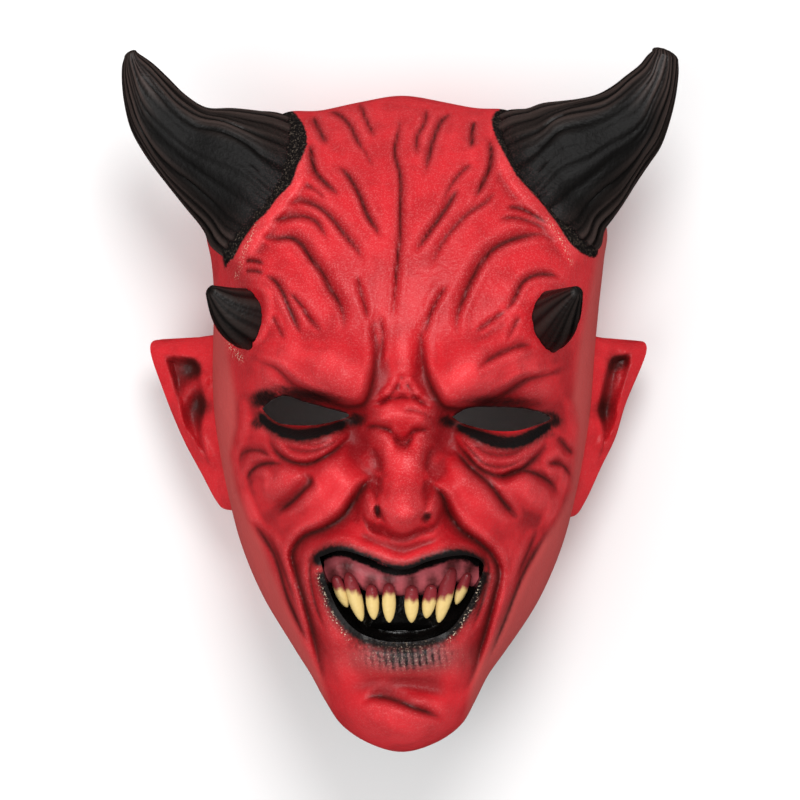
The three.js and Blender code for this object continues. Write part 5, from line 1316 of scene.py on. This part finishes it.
# Dark paint, whose edges the fine noise breaks up, the first of it also painted shade: effect, break-up,
# levels, strength and shade
DARK_COATS = [
    ("wash_and_shade", 0.3, (0.1, 0.95), 0.94, (56, 20, 17)),
    ("black", 0.6, (0.22, 0.78), 1, (24, 20, 20)),
]
ROUGHNESS = dict(dull=0.62, shiny=0.2, uneven=0.25)
SPECULAR = 0.27
BUMP = dict(strength=0.5, height=0.0005, mottle=1.5)


def new_material(name):
    material = bpy.data.materials.new(name)
    material.use_nodes = True
    return material, material.node_tree.nodes["Principled BSDF"]


def latex_material():
    """Painted rubber: smooth paint, with the edges of washes, painted shade and black paint broken up by
    noise, and a painted sheen of pale grains.
    """
    material, shader = new_material("painted_latex")
    nodes, links = material.node_tree.nodes, material.node_tree.links
    place = nodes.new("ShaderNodeTexCoord").outputs["Object"]

    def effect(name):
        found = nodes.new("ShaderNodeAttribute")
        found.attribute_name = name
        return found.outputs["Color" if name == "paint" else "Fac"]

    def noise(scale, detail):
        made = nodes.new("ShaderNodeTexNoise")
        made.inputs["Scale"].default_value = scale
        made.inputs["Detail"].default_value = detail
        links.new(place, made.inputs["Vector"])
        return made.outputs["Fac"]

    def math_node(operation, first, second):
        made = nodes.new("ShaderNodeMath")
        made.operation = operation
        for socket, value in zip(made.inputs, (first, second)):
            if isinstance(value, (int, float)):
                socket.default_value = value
            else:
                links.new(value, socket)
        return made.outputs["Value"]

    def ramp(value, low, high, kind="SMOOTHSTEP", to=(0, 1)):
        made = nodes.new("ShaderNodeMapRange")
        made.interpolation_type = kind
        for name, level in zip(("From Min", "From Max", "To Min", "To Max"), (low, high, *to)):
            made.inputs[name].default_value = level
        links.new(value, made.inputs["Value"])
        return made.outputs["Result"]

    def blend(base, shade, amount, strength):
        made = nodes.new("ShaderNodeMix")
        made.data_type = "RGBA"
        links.new(math_node("MULTIPLY", amount, strength), made.inputs["Factor"])
        links.new(base, made.inputs["A"])
        made.inputs["B"].default_value = (*linear(*shade), 1)
        return made.outputs["Result"]

    noises = {name: noise(*values) for name, values in NOISES.items()}

    def noise_coats(base, coats):
        for texture, within, levels, strength, shade in coats:
            amount = math_node("MULTIPLY", ramp(noises[texture], *levels), effect(within))
            base = blend(base, shade, amount, strength)
        return base

    def broken(amount, strength):
        centred = math_node("SUBTRACT", noises["fine"], 0.5)
        return math_node("ADD", amount, math_node("MULTIPLY", centred, strength))

    colour = noise_coats(effect("paint"), NOISE_COATS["under"])
    for name, break_up, levels, strength, shade in DARK_COATS:
        colour = blend(colour, shade, ramp(broken(effect(name), break_up), *levels), strength)
    links.new(noise_coats(colour, NOISE_COATS["over"]), shader.inputs["Base Color"])
    uneven = broken(effect("shine"), ROUGHNESS["uneven"])
    rough = ramp(uneven, 0, 1, kind="LINEAR", to=(ROUGHNESS["dull"], ROUGHNESS["shiny"]))
    links.new(rough, shader.inputs["Roughness"])
    shader.inputs["Specular IOR Level"].default_value = SPECULAR
    bump = nodes.new("ShaderNodeBump")
    bump.inputs["Strength"].default_value = BUMP["strength"]
    bump.inputs["Distance"].default_value = BUMP["height"]
    height = math_node("ADD", noises["fine"], math_node("MULTIPLY", noises["mottle"], BUMP["mottle"]))
    links.new(height, bump.inputs["Height"])
    links.new(bump.outputs["Normal"], shader.inputs["Normal"])
    return material


# Build

def to_real_size(seen):
    """The front view opened out to real sizes, and its points fitted to the part's box."""
    spread = (VIEW_HEIGHT - seen[:, 2]) / (VIEW_HEIGHT - FACE_LEVEL)
    real = seen * np.column_stack([spread, spread, np.ones(len(seen))])
    shift = np.array([*(-(real.min(0) + real.max(0)) / 2)[:2], -real[:, 2].min()])
    low, high = np.array(cad_box) / MM
    inset = np.array([FIT_INSET, FIT_INSET, 0])
    room = high - low - 2 * inset - (0, 0, FIT_INSET)
    return (real - real.min(0)) / (real.max(0) - real.min(0)) * room + low + inset, shift


mask = casting()
mesh = mask.data
seen = values_of(mesh.vertices, "co", 3).astype(float)
paint(mesh, seen)
fitted, shift = to_real_size(seen)
mesh.vertices.foreach_set("co", (fitted * MM).astype(np.float32).ravel())
mesh.update()
mesh.shade_smooth()
mesh.set_sharp_from_angle(angle=math.radians(SHARP_ANGLE))
mask.name = "latex_mask"
mesh.materials.clear()
mesh.materials.append(latex_material())
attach(mask, "root")
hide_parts(NODE)


# Floor, light and camera, in metres

FLOOR = dict(half_size=3, below=0.0005, shade=0.9, roughness=0.9)
AIM = Vector((0, 0, 0.08))
# Lamps: place, diameter and power in watts
LAMPS = dict(
    key=((0.1, 0.7, 1.3), 0.6, 10.5),
    fill=((-0.5, -0.35, 1.3), 0.9, 4.5),
)
SKY_STRENGTH = 0.72
SENSOR_WIDTH = 36


def floor():
    size, below = FLOOR["half_size"], -FLOOR["below"]
    data = bpy.data.meshes.new("floor")
    corners = [(-size, -size, below), (size, -size, below), (size, size, below), (-size, size, below)]
    data.from_pydata(corners, [], [(0, 1, 2, 3)])
    made = placed("floor", data)
    material, shader = new_material("pale_floor")
    shader.inputs["Base Color"].default_value = (*[FLOOR["shade"]] * 3, 1)
    shader.inputs["Roughness"].default_value = FLOOR["roughness"]
    data.materials.append(material)
    made.visible_glossy = False


def lamp(name, place, size, power):
    data = bpy.data.lights.new(name, "AREA")
    data.shape = "DISK"
    data.size = size
    data.energy = power
    made = placed(name, data)
    made.location = place
    made.rotation_euler = (AIM - made.location).to_track_quat("-Z", "Y").to_euler()


def camera():
    """Where the photograph was taken from, with its scale at the level of the face."""
    data = bpy.data.cameras.new("camera")
    data.sensor_width = SENSOR_WIDTH
    focal_pixels = (VIEW_HEIGHT - FACE_LEVEL) / MM_PER_PIXEL
    data.lens = focal_pixels * SENSOR_WIDTH / PHOTO_WIDTH
    made = placed("camera", data)
    made.location = (shift + (0, 0, VIEW_HEIGHT)) * MM
    bpy.context.scene.camera = made


def world():
    """Even white light, kept out of reflections."""
    made = bpy.data.worlds.new("studio")
    made.use_nodes = True
    background = made.node_tree.nodes["Background"]
    background.inputs["Color"].default_value = (1, 1, 1, 1)
    background.inputs["Strength"].default_value = SKY_STRENGTH
    made.cycles_visibility.glossy = False
    bpy.context.scene.world = made


floor()
for name, values in LAMPS.items():
    lamp(name, *values)
world()
camera()
bpy.context.scene.view_settings.view_transform = "Standard"
